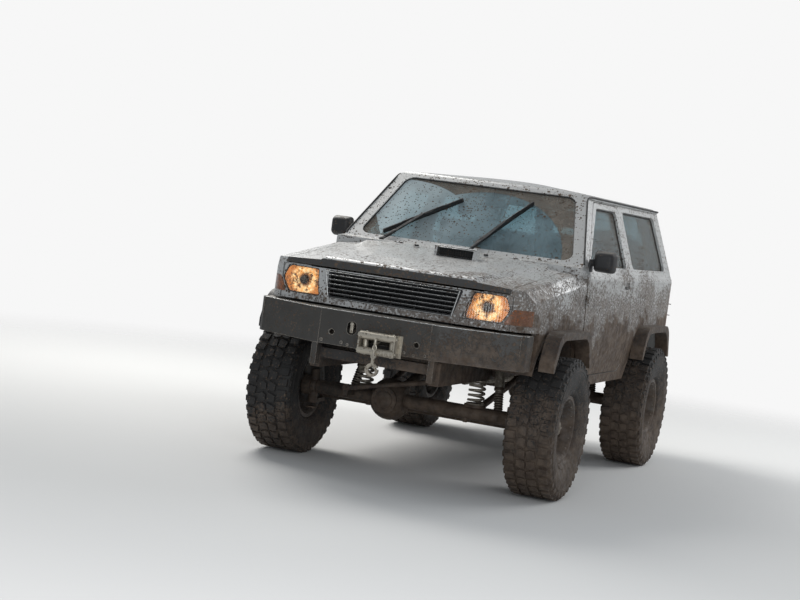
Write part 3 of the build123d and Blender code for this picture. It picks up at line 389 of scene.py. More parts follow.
def finish(name, base, vary=0.12, metallic=0.0, rough=0.5, rough_vary=0.12, coat=0.0, mud=(0.6, 1.0, 1.0),
           wear=None, wear_colour=(0.42, 0.38, 0.33), grain=None, bump=0.0006, flake=False, dust=0.0,
           cabin=False):
    """A worn, muddy surface. mud is (line, amount, specks), wear (width, amount), grain (scale, depth)."""
    if name in bpy.data.materials:
        return bpy.data.materials[name]
    made, tree, shader = new_material(name)
    where = object_place(tree)
    mottled = noise_of(tree, where, 7.0, 5.0, 0.6)
    darker = tuple(c * (1.0 - vary) for c in base)
    lighter = tuple(min(1.0, c * (1.0 + vary)) for c in base)
    colour = blend_colour(tree, mottled, darker, lighter)
    roughness = ramp(tree, noise_of(tree, where, 16.0, 4.0, 0.6), 0.25, 0.75, rough - rough_vary,
                     rough + rough_vary)
    metal = metallic
    height = None
    if flake:
        sparkle = add_node(tree, "ShaderNodeTexVoronoi", {"Vector": where, "Scale": 900.0})
        bright = ramp(tree, sparkle.outputs["Distance"], 0.0, 0.5)
        colour = blend_colour(tree, bright, lighter, colour)
    if grain:
        height = use_group(tree, grain_group(), Scale=grain[0], Depth=grain[1])["Height"]
    if wear:
        worn = use_group(tree, wear_group(), Width=wear[0], Amount=wear[1])["Mask"]
        colour = blend_colour(tree, worn, colour, wear_colour)
        metal = calc(tree, "MAXIMUM", worn, metallic)
    if dust:
        settled = use_group(tree, dust_group(), Amount=dust)["Mask"]
        colour = blend_colour(tree, settled, colour, DUST_COLOUR)
    if mud:
        amount = calc(tree, "MULTIPLY", out_of_cabin(tree), mud[1]) if cabin else mud[1]
        cover = mud_cover(tree, mud[0], amount, mud[2])
        mask = cover["Mask"]
        colour = blend_colour(tree, mask, colour, cover["Colour"])
        dull = ramp(tree, noise_of(tree, where, 30.0, 3.0), 0.35, 0.65, 0.55, 0.92)
        roughness = calc(tree, "ADD", calc(tree, "MULTIPLY", roughness, calc(tree, "SUBTRACT", 1.0, mask)),
                         calc(tree, "MULTIPLY", dull, mask))
        metal = calc(tree, "MULTIPLY", metal, calc(tree, "SUBTRACT", 1.0, mask))
        if coat:
            coat = calc(tree, "MULTIPLY", calc(tree, "SUBTRACT", 1.0, mask), coat)
        lump = calc(tree, "MULTIPLY", cover["Height"], 3.0)
        height = lump if height is None else calc(tree, "ADD", height, lump)
    feed(tree, shader.inputs, {"Base Color": colour, "Roughness": roughness, "Metallic": metal,
                               "Coat Weight": coat, "Coat Roughness": CLEARCOAT_ROUGHNESS})
    if height is not None:
        bump_from(tree, shader, height, bump)
    return made


def body_paint():
    line = chosen("vehicle_mud").line
    return finish("Silver paint", tuple(chosen("vehicle_body").paint), 0.06, 0.30, 0.40, 0.07, 0.4,
                  (line, 1.0, 1.1), bump=0.0012, flake=True, cabin=True)


def bumper_steel():
    return finish("Bumper steel", (0.050, 0.047, 0.043), 0.3, 0.25, 0.5, 0.1, 0.0, (0.70, 0.85, 1.0),
                  (0.006, 1.0), grain=(420.0, 0.3), bump=0.0012, dust=0.9)


def chassis_paint():
    return finish("Chassis paint", (0.022, 0.020, 0.019), 0.3, 0.0, 0.6, 0.1, 0.0, (0.72, 0.85, 0.7),
                  (0.004, 0.6), (0.10, 0.05, 0.03), dust=0.4)


def castings():
    return finish("Castings", (0.045, 0.038, 0.032), 0.35, 0.2, 0.65, 0.1, 0.0, (0.62, 0.85, 0.8),
                  (0.003, 0.8), (0.16, 0.08, 0.045), (260.0, 1.0), dust=0.4)


def galvanised():
    return finish("Galvanised steel", (0.46, 0.42, 0.35), 0.18, 0.75, 0.42, 0.12, 0.0, (0.55, 0.7, 0.9),
                  (0.003, 0.4), (0.6, 0.57, 0.5), (300.0, 0.4))


def dark_plastic():
    return finish("Grained plastic", tuple(chosen("vehicle_body").trim), 0.2, 0.0, 0.55, 0.1, 0.0,
                  (0.9, 0.9, 0.8), grain=(650.0, 0.6), dust=0.5)


def inside_plastic():
    return finish("Inside plastic", (0.035, 0.036, 0.038), 0.1, 0.0, 0.6, 0.08, mud=None, grain=(800.0, 0.6))


def gloss_trim():
    return finish("Grille plastic", (0.012, 0.012, 0.013), 0.2, 0.0, 0.34, 0.1, 0.2, (0.6, 0.7, 0.7),
                  (0.002, 0.3), (0.35, 0.34, 0.32))


# Bright metal trim, also used for painted highlights: the bead on the bumper's top edge and the beads beside
# the grille
def bright_trim_and_highlight():
    return finish("Bright trim", (0.50, 0.50, 0.49), 0.1, 0.85, 0.3, 0.1, 0.0, (0.6, 0.85, 1.0))


def seal_rubber():
    return finish("Seal rubber", (0.012, 0.012, 0.012), 0.2, 0.0, 0.62, 0.1, mud=(0.8, 0.8, 0.9))


def tyre_rubber():
    return finish("Tyre rubber", (0.017, 0.016, 0.0155), 0.25, 0.0, 0.72, 0.1, 0.0, (0.36, 0.75, 1.0),
                  grain=(500.0, 0.5), bump=0.0012)


def rim_alloy():
    return finish("Wheel alloy", (0.13, 0.125, 0.12), 0.15, 0.6, 0.45, 0.12, 0.0, (0.42, 0.85, 1.0),
                  (0.003, 0.5), (0.5, 0.48, 0.45))


def seat_cloth():
    """Woven cloth in two greys with a lighter fleck, worn paler where it faces up."""
    name = "Cushion cloth"
    if name in bpy.data.materials:
        return bpy.data.materials[name]
    made, tree, shader = new_material(name)
    where = object_place(tree)
    cloth = tuple(chosen("vehicle_seat").cloth)
    threads = use_group(tree, weave_group(), Scale=190.0)
    colour = blend_colour(tree, threads["Mask"], cloth, tuple(c * 1.7 for c in cloth))
    flecks = ramp(tree, noise_of(tree, where, 240.0, 2.0, 0.5), 0.60, 0.66)
    colour = blend_colour(tree, flecks, colour, (0.13, 0.13, 0.13))
    dirt = ramp(tree, noise_of(tree, where, 5.0, 5.0, 0.65), 0.45, 0.75, 0.0, 0.5)
    colour = blend_colour(tree, dirt, colour, (0.10, 0.080, 0.060))
    settled = use_group(tree, dust_group(), Amount=0.25)["Mask"]
    colour = blend_colour(tree, settled, colour, DUST_COLOUR)
    feed(tree, shader.inputs, {"Base Color": colour, "Roughness": ramp(tree, dirt, 0.0, 0.5, 0.82, 0.95),
                               "Sheen Weight": 0.3})
    bump_from(tree, shader, threads["Height"], 0.0006, 0.8)
    return made


def seat_vinyl():
    return finish("Cushion vinyl", (0.030, 0.030, 0.033), 0.15, 0.0, 0.5, 0.08, mud=None, grain=(520.0, 0.8),
                  dust=0.3)


def headlining():
    return finish("Headlining", (0.34, 0.33, 0.31), 0.08, 0.0, 0.85, 0.06, mud=None, grain=(900.0, 1.0))


def floor_rubber():
    return finish("Floor rubber", (0.018, 0.018, 0.018), 0.2, 0.0, 0.7, 0.1, mud=(0.85, 0.6, 0.8), dust=0.6)


def belt_web():
    return finish("Belt webbing", (0.020, 0.020, 0.022), 0.1, 0.0, 0.6, 0.06, mud=None, grain=(700.0, 1.0))


def clear_glass(name, tint, rough=0.03):
    """Tinted glass with a faint film of dirt in its roughness."""
    if name in bpy.data.materials:
        return bpy.data.materials[name]
    made, tree, shader = new_material(name)
    where = object_place(tree)
    film = noise_of(tree, where, 12.0, 4.0, 0.6)
    colour = blend_colour(tree, film, tint, tuple(c * 0.9 for c in tint))
    clouded = ramp(tree, film, 0.3, 0.7, rough, rough + 0.05)
    feed(tree, shader.inputs,
         {"Base Color": colour, "Roughness": clouded, "Transmission Weight": 1.0, "IOR": 1.45})
    return made


def window_glass():
    return clear_glass("Window glass", (0.36, 0.50, 0.54))


# Mesh helpers


def round_off(bm, parts, offset, segments=2, affect="EDGES", clamp=True):
    """Bevels edges or corners."""
    bmesh.ops.bevel(bm, geom=parts, offset=offset, offset_type="OFFSET", affect=affect, segments=segments,
                    profile=0.5, material=-1, clamp_overlap=clamp)


def put_cube(bm, matrix, bevel):
    """A unit cube placed and sized by a matrix, with rounded edges."""
    made = bmesh.ops.create_cube(bm, size=1.0, matrix=matrix)
    if bevel:
        round_off(bm, list({e for v in made["verts"] for e in v.link_edges}), bevel)


def put_box(bm, low, high, bevel=0.0):
    """A box between two corners."""
    low, high = Vector(low), Vector(high)
    put_cube(bm, Matrix.Translation((low + high) / 2) @ Matrix.Diagonal((*(high - low), 1.0)), bevel)


def put_bar(bm, place, start, end, wide, low, high, bevel=0.0):
    """A flat bar between two points of a local frame's plane, from low to high above it."""
    run = Vector(end) - Vector(start)
    centre = (Vector(start) + Vector(end)) / 2
    turn = (Matrix.Translation((centre.x, centre.y, (low + high) / 2))
            @ Matrix.Rotation(math.atan2(run.y, run.x), 4, "Z"))
    put_cube(bm, place @ turn @ Matrix.Diagonal((run.length, wide, high - low, 1.0)), bevel)


def put_bolt(bm, place, axis, size=0.008):
    """A washer and a six-sided head standing on a surface."""
    place, axis = Vector(place), Vector(axis).normalized()
    put_rod(bm, place - axis * 0.003, place + axis * size * 0.28, size * 1.5, 20)
    put_rod(bm, place, place + axis * size, size * 1.08, 6, bevel=size * 0.12)


def put_loop(bm, centre, axis, radius, wire, steps=24):
    """A closed ring of round wire."""
    axis = Vector(axis).normalized()
    side = axis.orthogonal().normalized()
    other = axis.cross(side)
    points = [Vector(centre) + (side * math.cos(a) + other * math.sin(a)) * radius
              for a in (math.tau * i / steps for i in range(steps))]
    put_tube(bm, points, wire, 2, True, False)


def put_rod(bm, start, end, radius, segments=20, end_radius=None, bevel=0.0):
    """A round bar or cone between two points."""
    start, end = Vector(start), Vector(end)
    along = end - start
    matrix = Matrix.Translation((start + end) / 2) @ along.to_track_quat("Z", "Y").to_matrix().to_4x4()
    made = bmesh.ops.create_cone(bm, cap_ends=True, segments=segments, radius1=radius,
                                 radius2=radius if end_radius is None else end_radius,
                                 depth=along.length, matrix=matrix)
    if bevel:
        rims = {e for v in made["verts"] for e in v.link_edges if any(len(f.verts) > 4 for f in e.link_faces)}
        round_off(bm, list(rims), bevel)


def put_peg(bm, start, offset, *sizes, **more):
    """A round bar from a point to another at an offset from it."""
    put_rod(bm, start, Vector(start) + Vector(offset), *sizes, **more)


def put_pin(bm, centre, half, *sizes, **more):
    """A round bar that reaches as far to both sides of its centre."""
    put_rod(bm, centre - Vector(half), centre + Vector(half), *sizes, **more)


def circle(count, radius, shift=0.0):
    """Evenly spaced (along, up) points round a circle; shift is a share of the step between two."""
    angles = [math.tau * (index + shift) / count for index in range(count)]
    return [(radius * math.cos(angle), radius * math.sin(angle)) for angle in angles]


def outward_of(place):
    """The direction in which a local frame's Z points."""
    return place.to_3x3() @ Vector((0, 0, 1))


def draw_out(bm, faces, offset):
    """Extrudes faces along an offset; the result is what was made."""
    drawn = bmesh.ops.extrude_face_region(bm, geom=faces)["geom"]
    bmesh.ops.translate(bm, vec=offset, verts=[v for v in drawn if isinstance(v, bmesh.types.BMVert)])
    return drawn


def mesh_from(bm, name="part"):
    """A mesh from a bmesh, which is used up."""
    mesh = bpy.data.meshes.new(name)
    bm.to_mesh(mesh)
    bm.free()
    return mesh


def put_part(bm, part, place):
    """Adds a bmesh, which is used up, to another one."""
    mesh = mesh_from(part)
    put_mesh(bm, mesh, place)
    bpy.data.meshes.remove(mesh)


def show(name, data):
    """A new object in the scene."""
    made = bpy.data.objects.new(name, data)
    bpy.context.collection.objects.link(made)
    return made


def soften(thing, levels):
    """Subdivides an object's surface."""
    added = thing.modifiers.new("Soften", "SUBSURF")
    added.levels = levels
    added.render_levels = levels


def put_lathe(bm, profile, centre, axis, segments=48, closed=True):
    """A turned shape from (distance along the axis, radius) points."""
    axis = Vector(axis).normalized()
    turn = axis.to_track_quat("X", "Z").to_matrix().to_4x4()
    place = Matrix.Translation(Vector(centre)) @ turn
    points = [place @ Vector((along, 0.0, radius)) for along, radius in profile]
    made = [bm.verts.new(point) for point in points]
    pairs = list(zip(made, made[1:] + made[:1])) if closed else list(zip(made, made[1:]))
    edges = [bm.edges.new(pair) for pair in pairs]
    bmesh.ops.spin(bm, geom=made + edges, cent=Vector(centre), axis=axis, angle=math.tau, steps=segments,
                   use_merge=True, use_duplicate=False)


def put_tube(bm, points, radius, resolution=3, cyclic=False, smooth=True):
    """A round tube along points, smoothed as one curve."""
    curve = bpy.data.curves.new("tube", "CURVE")
    curve.dimensions = "3D"
    curve.bevel_depth = radius
    curve.bevel_resolution = resolution
    curve.use_fill_caps = not cyclic
    spline = curve.splines.new("NURBS" if smooth else "POLY")
    spline.points.add(len(points) - 1)
    for control, point in zip(spline.points, points):
        control.co = (*point, 1.0)
    spline.use_cyclic_u = cyclic
    if smooth:
        spline.order_u = 3
        spline.use_endpoint_u = not cyclic
        spline.resolution_u = 6
    holder = bpy.data.objects.new("tube", curve)
    made = bpy.data.meshes.new_from_object(holder)
    bm.from_mesh(made)
    bpy.data.objects.remove(holder)
    bpy.data.curves.remove(curve)
    bpy.data.meshes.remove(made)


def put_plate(bm, place, corners, radius, depth, edge=0.0, segments=4):
    """A flat plate with rounded corners, thickened along its local frame's Z."""
    flat = bmesh.new()
    flat.faces.new([flat.verts.new((x, y, 0.0)) for x, y in corners])
    round_off(flat, flat.verts[:], radius, segments, affect="VERTICES", clamp=False)
    draw_out(flat, flat.faces[:], (0, 0, depth))
    bmesh.ops.recalc_face_normals(flat, faces=flat.faces)
    if edge:
        rim = [e for e in flat.edges if all(abs(v.co.z - depth) < 1e-6 for v in e.verts)]
        round_off(flat, rim, edge)
    put_part(bm, flat, place)


def rectangle(x0, x1, y0, y1):
    """Four corners."""
    return [(x0, y0), (x1, y0), (x1, y1), (x0, y1)]


def put_block(bm, xs, stations, heights, bevel=0.0):
    """A box between two x, two stations and two heights, given in any order."""
    ends = [sorted(pair) for pair in (xs, stations, heights)]
    put_box(bm, at(*(pair[0] for pair in ends)), at(*(pair[1] for pair in ends)), bevel)


def put_slab(bm, outline, x0, x1, bevel):
    """A closed form from a side outline of (station, height) points, drawn out between two x."""
    part = bmesh.new()
    part.faces.new([part.verts.new(at(x0, station, z)) for station, z in outline])
    draw_out(part, part.faces[:], (x1 - x0, 0, 0))
    bmesh.ops.recalc_face_normals(part, faces=part.faces)
    round_off(part, part.edges[:], bevel, 3)
    put_part(bm, part, Matrix())


def facing_side(x):
    """A frame with its X along the stations and its Y up, on a plane of one x."""
    return Matrix.Translation(at(x, 0, 0)) @ Matrix(((0, 0, 1, 0), (1, 0, 0, 0), (0, 1, 0, 0), (0, 0, 0, 1)))


def facing_front(station):
    """A frame with its Y up and its Z forwards, on a plane of one station."""
    turn = Matrix(((1, 0, 0, 0), (0, 0, -1, 0), (0, 1, 0, 0), (0, 0, 0, 1)))
    return Matrix.Translation(at(0, station, 0)) @ turn


def put_mesh(bm, mesh, matrix):
    """A copy of a mesh, moved and turned."""
    before = set(bm.verts)
    bm.from_mesh(mesh)
    fresh = [v for v in bm.verts if v not in before]
    bmesh.ops.transform(bm, matrix=matrix, verts=fresh)


def piece(name, bm, material, smooth=40.0, replaces=(), levels=0, normals=True, body="body"):
    """Turns a bmesh into a finished object that rides on a body."""
    if normals:
        bmesh.ops.remove_doubles(bm, verts=bm.verts, dist=1e-6)
        bmesh.ops.recalc_face_normals(bm, faces=bm.faces)
    mesh = mesh_from(bm, name)
    made = show(name, mesh)
    mesh.materials.append(material)
    if smooth:
        mesh.polygons.foreach_set("use_smooth", [True] * len(mesh.polygons))
        mesh.set_sharp_from_angle(angle=math.radians(smooth))
    if levels:
        soften(made, levels)
    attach(made, body)
    if replaces:
        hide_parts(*replaces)
    return made


def cad_bmesh(node):
    """A merged copy of a CAD node's mesh."""
    bm = bmesh.new()
    bm.from_mesh(NODES[node].data)
    bmesh.ops.remove_doubles(bm, verts=bm.verts, dist=1e-5)
    return bm


def face_loops(node, facing, limit=0.6):
    """Closed outlines of the parts of a node that face a direction, as lists of points."""
    bm = cad_bmesh(node)
    bm.normal_update()
    away = [f for f in bm.faces if f.normal.dot(Vector(facing)) < limit]
    bmesh.ops.delete(bm, geom=away, context="FACES")
    rest = {e for e in bm.edges if e.is_boundary}
    loops = []
    while rest:
        edge = rest.pop()
        start, here = edge.verts
        loop = [start.co.copy(), here.co.copy()]
        while here is not start:
            onward = [e for e in here.link_edges if e in rest]
            if not onward:
                break
            edge = onward[0]
            rest.discard(edge)
            here = edge.other_vert(here)
            if here is not start:
                loop.append(here.co.copy())
        loops.append(loop)
    bm.free()
    return loops


def spread(points, step):
    """The same closed outline with points about one step apart."""
    result = []
    for here, following in zip(points, points[1:] + points[:1]):
        count = max(1, round((following - here).length / step))
        result += [here.lerp(following, i / count) for i in range(count)]
    return result


def paint_node(node, material):
    """Gives a carried-over CAD node its own finish."""
    shown = NODES[node]
    shown.data.materials.clear()
    shown.data.materials.append(material)


# The vehicle's pieces


class VEHICLE_OT_finishes(bpy.types.Operator):
    """Gives every CAD node its paint, metal, plastic or glass."""
    bl_idname = "vehicle.finishes"
    bl_label = "Finishes"

    def execute(self, context):
        table = {
            body_paint: ("roof_panel", "body_sides", "floor_pan", "door_left", "door_right", "rear_door_large",
                         "rear_door_small", "hood", "fenders", "front_panel"),
            bumper_steel: ("front_bumper", "rear_bumper", "winch"),
            galvanised: ("fairlead", "winch_rope", "winch_hook", "exhaust", "coil_springs", "dampers"),
            chassis_paint: ("chassis_frame", "suspension_links", "fuel_tank"),
            castings: ("engine_block", "front_axle", "rear_axle", "knuckle_left", "knuckle_right", "tie_rod",
                       "prop_shafts"),
            dark_plastic: ("wheel_housings", "flares", "mirror_left", "mirror_right", "wipers"),
            inside_plastic: ("dashboard", "steering_wheel", "front_seats", "rear_bench"),
            gloss_trim: ("grille",),
            window_glass: ("fixed_glass", "door_glass_left", "door_glass_right", "rear_glass_large",
                           "rear_glass_small"),
            rim_alloy: ("rim_front_left", "rim_front_right", "rim_rear_left", "rim_rear_right", "spare_rim"),
            tyre_rubber: ("tyre_front_left", "tyre_front_right", "tyre_rear_left", "tyre_rear_right",
                          "spare_tyre"),
        }
        for maker, nodes in table.items():
            for node in nodes:
                paint_node(node, maker())
        return {"FINISHED"}


def tread_block(bm, corners, base, top, bevel):
    """One lug from a footprint of (across, along) corners, standing on the carcass at the tyre's top."""
    floor = bm.faces.new([bm.verts.new((x, y, base)) for x, y in corners])
    lifted = draw_out(bm, [floor], (0, 0, top - base))
    round_off(bm, [e for e in lifted if isinstance(e, bmesh.types.BMEdge)], bevel, 1)


TREAD_TURN = 0.07
TREAD_INSET = 0.0017


def tyre_mesh():
    """A whole tyre about the X axis at the origin: ribbed carcass, centre blocks and shoulder lugs."""
    settings = chosen("vehicle_tyre")
    top = TYRE_RADIUS - TREAD_INSET
    base = top - settings.lug_height
    half = [(0.1125, 0.2135), (0.1235, 0.222), (0.1300, 0.2300), (0.1345, 0.2450), (0.1330, 0.2500),
            (0.1440, 0.2780), (0.1530, 0.3100), (0.1560, 0.3400), (0.1548, 0.3680), (0.1570, 0.3700),
            (0.1555, 0.3830), (0.1530, 0.3845), (0.1490, 0.4050), (0.1420, 0.4190), (0.1300, base - 0.004),
            (0.1050, base), (0.0500, base + 0.001)]
    profile = half + [(-x, r) for x, r in reversed(half)]
    bm = bmesh.new()
    put_lathe(bm, profile, (0, 0, 0), (1, 0, 0), 96)
    bmesh.ops.recalc_face_normals(bm, faces=bm.faces)
    carcass = mesh_from(bm)
    pitch = math.tau * base / settings.pitches
    lug = bmesh.new()
    long_side = pitch * 0.40
    for side in (1, -1):
        skew = side * 0.010
        centre = [(side * 0.006, -long_side + skew), (side * 0.026, -long_side * 1.15),
                  (side * 0.062, -long_side * 0.7), (side * 0.056, long_side * 0.75),
                  (side * 0.030, long_side * 0.95), (side * 0.004, long_side * 0.6)]
        tread_block(lug, centre if side > 0 else centre[::-1], base - 0.004, top, 0.0016)
        shift = pitch * 0.5
        inner = 0.073 if side > 0 else 0.071
        shoulder = [(side * inner, shift - long_side * 0.8), (side * 0.1335, shift - long_side * 0.95),
                    (side * 0.1335, shift + long_side * 0.70),
                    (side * (inner + 0.006), shift + long_side * 0.85)]
        tread_block(lug, shoulder if side > 0 else shoulder[::-1], base - 0.012, top - 0.0015, 0.0018)
        biter = [(side * 0.120, shift - long_side * 0.95), (side * 0.1535, shift - long_side * 0.75),
                 (side * 0.1535, shift + long_side * 0.45), (side * 0.120, shift + long_side * 0.70)]
        tread_block(lug, biter if side > 0 else biter[::-1], base - 0.040, base - 0.012, 0.0030)
    bmesh.ops.recalc_face_normals(lug, faces=lug.faces)
    block = mesh_from(lug)
    whole = bmesh.new()
    whole.from_mesh(carcass)
    for index in range(settings.pitches):
        put_mesh(whole, block, Matrix.Rotation(math.tau * index / settings.pitches, 4, "X"))
    return mesh_from(whole, "tyre")


def wheel_places():
    """Each wheel as (body, tyre node, placing matrix), with the outside at +X before placing."""
    rows = []
    for end in ("front", "rear"):
        for name, side in SIDES:
            node = f"tyre_{end}_{name}"
            turn = Matrix.Identity(4) if side > 0 else Matrix.Rotation(math.pi, 4, "Z")
            rows.append((f"wheel_{end}_{name}", node, Matrix.Translation(middle(node)) @ turn))
    spare = Matrix.Translation(middle("spare_tyre")) @ Matrix.Rotation(math.pi / 2, 4, "Z")
    rows.append(("rear_door_large", "spare_tyre", spare))
    return rows


class VEHICLE_OT_tyres(bpy.types.Operator):
    """Adds treaded tyres in place of the plain ones."""
    bl_idname = "vehicle.tyres"
    bl_label = "Tyres"

    def execute(self, context):
        mesh = tyre_mesh()
        for body, node, place in wheel_places():
            bm = bmesh.new()
            put_mesh(bm, mesh, place @ Matrix.Rotation(TREAD_TURN, 4, "X"))
            piece(f"{node}_tread", bm, tyre_rubber(), 28.0, (node,), normals=False, body=body)
        return {"FINISHED"}


class VEHICLE_OT_seals(bpy.types.Operator):
    """Adds rubber seals round the glass."""
    bl_idname = "vehicle.seals"
    bl_label = "Window seals"

    def execute(self, context):
        radius = chosen("vehicle_body").seal_radius
        rows = (("fixed_glass", "body", (0, -0.72, 0.69), 0.9),
                ("fixed_glass", "body", (0.94, 0, 0.33), 0.9),
                ("fixed_glass", "body", (-0.94, 0, 0.33), 0.9),
                ("door_glass_left", "door_left", (0.94, 0, 0.33), 0.9),
                ("door_glass_right", "door_right", (-0.94, 0, 0.33), 0.9),
                ("rear_glass_large", "rear_door_large", (0, 0.99, 0.14), 0.9),
                ("rear_glass_small", "rear_door_small", (0, 0.99, 0.14), 0.9))
        for index, (node, body, facing, limit) in enumerate(rows):
            bm = bmesh.new()
            for loop in face_loops(node, facing, limit):
                put_tube(bm, spread(loop, 0.12), radius, 2, True, False)
            piece(f"seal_{index}", bm, seal_rubber(), 60.0, body=body)
        return {"FINISHED"}


def open_skin(node, facing, limit, keep):
    """A copy of a node's mesh with only its faces towards a direction kept, or only the others."""
    bm = cad_bmesh(node)
    bm.normal_update()
    away = [f for f in bm.faces if (f.normal.dot(Vector(facing)) >= limit) != keep]
    bmesh.ops.delete(bm, geom=away, context="FACES")
    loose = [v for v in bm.verts if not v.link_faces]
    bmesh.ops.delete(bm, geom=loose, context="VERTS")
    return bm


def lamp_glow():
    """The lit reflector, glowing as the lamp: bright amber cells with darker gaps as painted reflections of
    the bulb in its facets, painted shade round the bulb's shield and towards the rim, and specks of mud.
    """
    name = "Lit reflector"
    if name in bpy.data.materials:
        return bpy.data.materials[name]
    made, tree, shader = new_material(name)
    where = object_place(tree)
    # Painted reflections of the bulb: cream cells with orange gaps across the reflector's facets
    facets = add_node(tree, "ShaderNodeTexVoronoi", {"Vector": where, "Scale": 48.0})
    tone = ramp(tree, facets.outputs["Distance"], 0.10, 0.85)
    specks = ramp(tree, noise_of(tree, where, 34.0, 6.0, 0.78), 0.49, 0.58)
    colour = blend_colour(tree, tone, (1.0, 0.83, 0.50), (0.94, 0.42, 0.11))
    parts = add_node(tree, "ShaderNodeSeparateXYZ", {0: where})
    across = calc(tree, "SUBTRACT", calc(tree, "ABSOLUTE", parts.outputs["X"]), LAMP_X)
    up = calc(tree, "SUBTRACT", parts.outputs["Z"], WHEEL_Z + LAMP_Z)
    away = calc(tree, "SQRT", calc(tree, "MULTIPLY_ADD", across, across, calc(tree, "MULTIPLY", up, up)))
    ragged = calc(tree, "MULTIPLY_ADD", noise_of(tree, where, 26.0, 4.0, 0.6), 0.034, away)
    # Painted shade: dark round the bulb's shield at the centre, and darker orange towards the reflector's rim
    colour = blend_colour(tree, ramp(tree, ragged, 0.044, 0.068), (0.13, 0.05, 0.014), colour)
    colour = blend_colour(tree, ramp(tree, ragged, 0.086, 0.118), colour, (0.50, 0.18, 0.04))
    colour = blend_colour(tree, specks, colour, (0.12, 0.045, 0.012))
    feed(tree, shader.inputs, {"Base Color": colour, "Emission Color": colour, "Emission Strength": 0.62,
                               "Metallic": 0.6, "Roughness": ramp(tree, tone, 0.0, 1.0, 0.16, 0.34)})
    return made


def lens_glass():
    """Clear lens with upright flutes and a thin film of mud specks."""
    name = "Fluted lens"
    if name in bpy.data.materials:
        return bpy.data.materials[name]
    made = clear_glass(name, (0.97, 0.93, 0.86), 0.05)
    add_waves(made.node_tree, 21.0, "X", 0.5)
    return made


def add_waves(tree, scale, direction, strength):
    """Ribs over a finished material."""
    waves = add_node(tree, "ShaderNodeTexWave", {"Vector": object_place(tree), "Scale": scale},
                     bands_direction=direction)
    bump_from(tree, tree.nodes["Principled BSDF"], waves.outputs["Fac"], 0.002, strength)


def amber_lens():
    """Moulded amber plastic with ribs, as on turn signals."""
    name = "Amber lens"
    if name in bpy.data.materials:
        return bpy.data.materials[name]
    made = finish(name, (0.27, 0.085, 0.024), 0.35, 0.0, 0.2, 0.06, 0.5, (0.95, 0.75, 1.5), bump=0.0010)
    feed(made.node_tree, made.node_tree.nodes["Principled BSDF"].inputs,
         {"Subsurface Weight": 0.25, "Subsurface Radius": (0.02, 0.008, 0.003)})
    return made


def red_lens():
    return finish("Red lens", (0.30, 0.008, 0.008), 0.15, 0.0, 0.2, 0.06, 0.5, (0.62, 0.8, 1.0))


def add_bowl(bm, side):
    """A dished reflector with the lamp's own outline, inset step by step."""
    corners = ((0.462, 0.6335), (0.684, 0.6335), (0.730, 0.712), (0.700, 0.786), (0.504, 0.786))
    rim = [at(side * x, -0.735, z) for x, z in corners]
    made = [bm.verts.new(point) for point in (rim if side > 0 else rim[::-1])]
    bm.faces.new(made)
    round_off(bm, made, 0.020, 3, affect="VERTICES", clamp=False)
    face = max((f for f in bm.faces if f.is_valid and len(f.verts) > 12),
               key=lambda f: f.calc_center_median().x * side)
    for thickness, depth in ((0.004, 0.010), (0.008, 0.014), (0.012, 0.012), (0.014, 0.008), (0.014, 0.004)):
        bmesh.ops.inset_region(bm, faces=[face], thickness=thickness, depth=-depth)


def add_bulb(bm, side):
    """A bulb's metal shield on a short stem in front of the reflector."""
    centre = at(side * LAMP_X, -0.716, LAMP_Z)
    put_lathe(bm, [(0.0, 0.0), (0.003, 0.015), (0.010, 0.023), (0.022, 0.026), (0.022, 0.0)],
              centre, (0, 1, 0), 24, False)
    put_rod(bm, centre + Vector((0, 0.028, 0)), centre + Vector((0, 0.045, 0)), 0.007, 16)


class VEHICLE_OT_headlamps(bpy.types.Operator):
    """Adds the headlamps' dark tubs, lit reflectors, shielded bulbs and fluted lenses."""
    bl_idname = "vehicle.headlamps"
    bl_label = "Headlamps"

    def execute(self, context):
        forwards = (0, -1, 0)
        lens = open_skin("headlamps", forwards, 0.45, True)
        lens.normal_update()
        bmesh.ops.solidify(lens, geom=lens.faces, thickness=0.0035)
        piece("headlamp_lenses", lens, lens_glass(), 30.0, ("headlamps",))
        tub = open_skin("headlamps", forwards, 0.45, False)
        bmesh.ops.solidify(tub, geom=tub.faces, thickness=0.003)
        piece("headlamp_tubs", tub, inside_plastic(), 30.0)
        bowls = bmesh.new()
        shields = bmesh.new()
        for side in (1, -1):
            add_bowl(bowls, side)
            add_bulb(shields, side)
        piece("headlamp_reflectors", bowls, lamp_glow())
        piece("headlamp_bulbs", shields, castings())
        return {"FINISHED"}


class VEHICLE_OT_corner_lamps(bpy.types.Operator):
    """Gives the corner and tail lamps their plastic, and the tail lamps ribs and screws."""
    bl_idname = "vehicle.lenses"
    bl_label = "Corner and tail lamps"

    def execute(self, context):
        paint_node("corner_lamps", amber_lens())
        paint_node("tail_lamps", red_lens())
        bm = bmesh.new()
        low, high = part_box("tail_lamps")
        for side in (1, -1):
            for height in (0.36, 0.66):
                z = low.z + height * (high.z - low.z)
                inner, outer = sorted((side * 0.776, side * 0.884))
                put_box(bm, (inner, high.y - 0.006, z - 0.003), (outer, high.y + 0.0015, z + 0.003), 0.001)
            for height in (0.03, 0.97):
                z = low.z + height * (high.z - low.z)
                put_rod(bm, (side * 0.83, high.y - 0.004, z), (side * 0.83, high.y + 0.0025, z), 0.005, 12)
        piece("tail_lamp_bars", bm, dark_plastic(), 35.0)
        return {"FINISHED"}


def rope_steel():
    """Twisted wire rope with dried mud between its strands."""
    name = "Wire rope"
    if name in bpy.data.materials:
        return bpy.data.materials[name]
    made = finish(name, (0.33, 0.30, 0.25), 0.25, 0.7, 0.45, 0.1, 0.0, (0.6, 0.8, 0.9), bump=0.0008)
    add_waves(made.node_tree, 60.0, "DIAGONAL", 0.9)
    return made


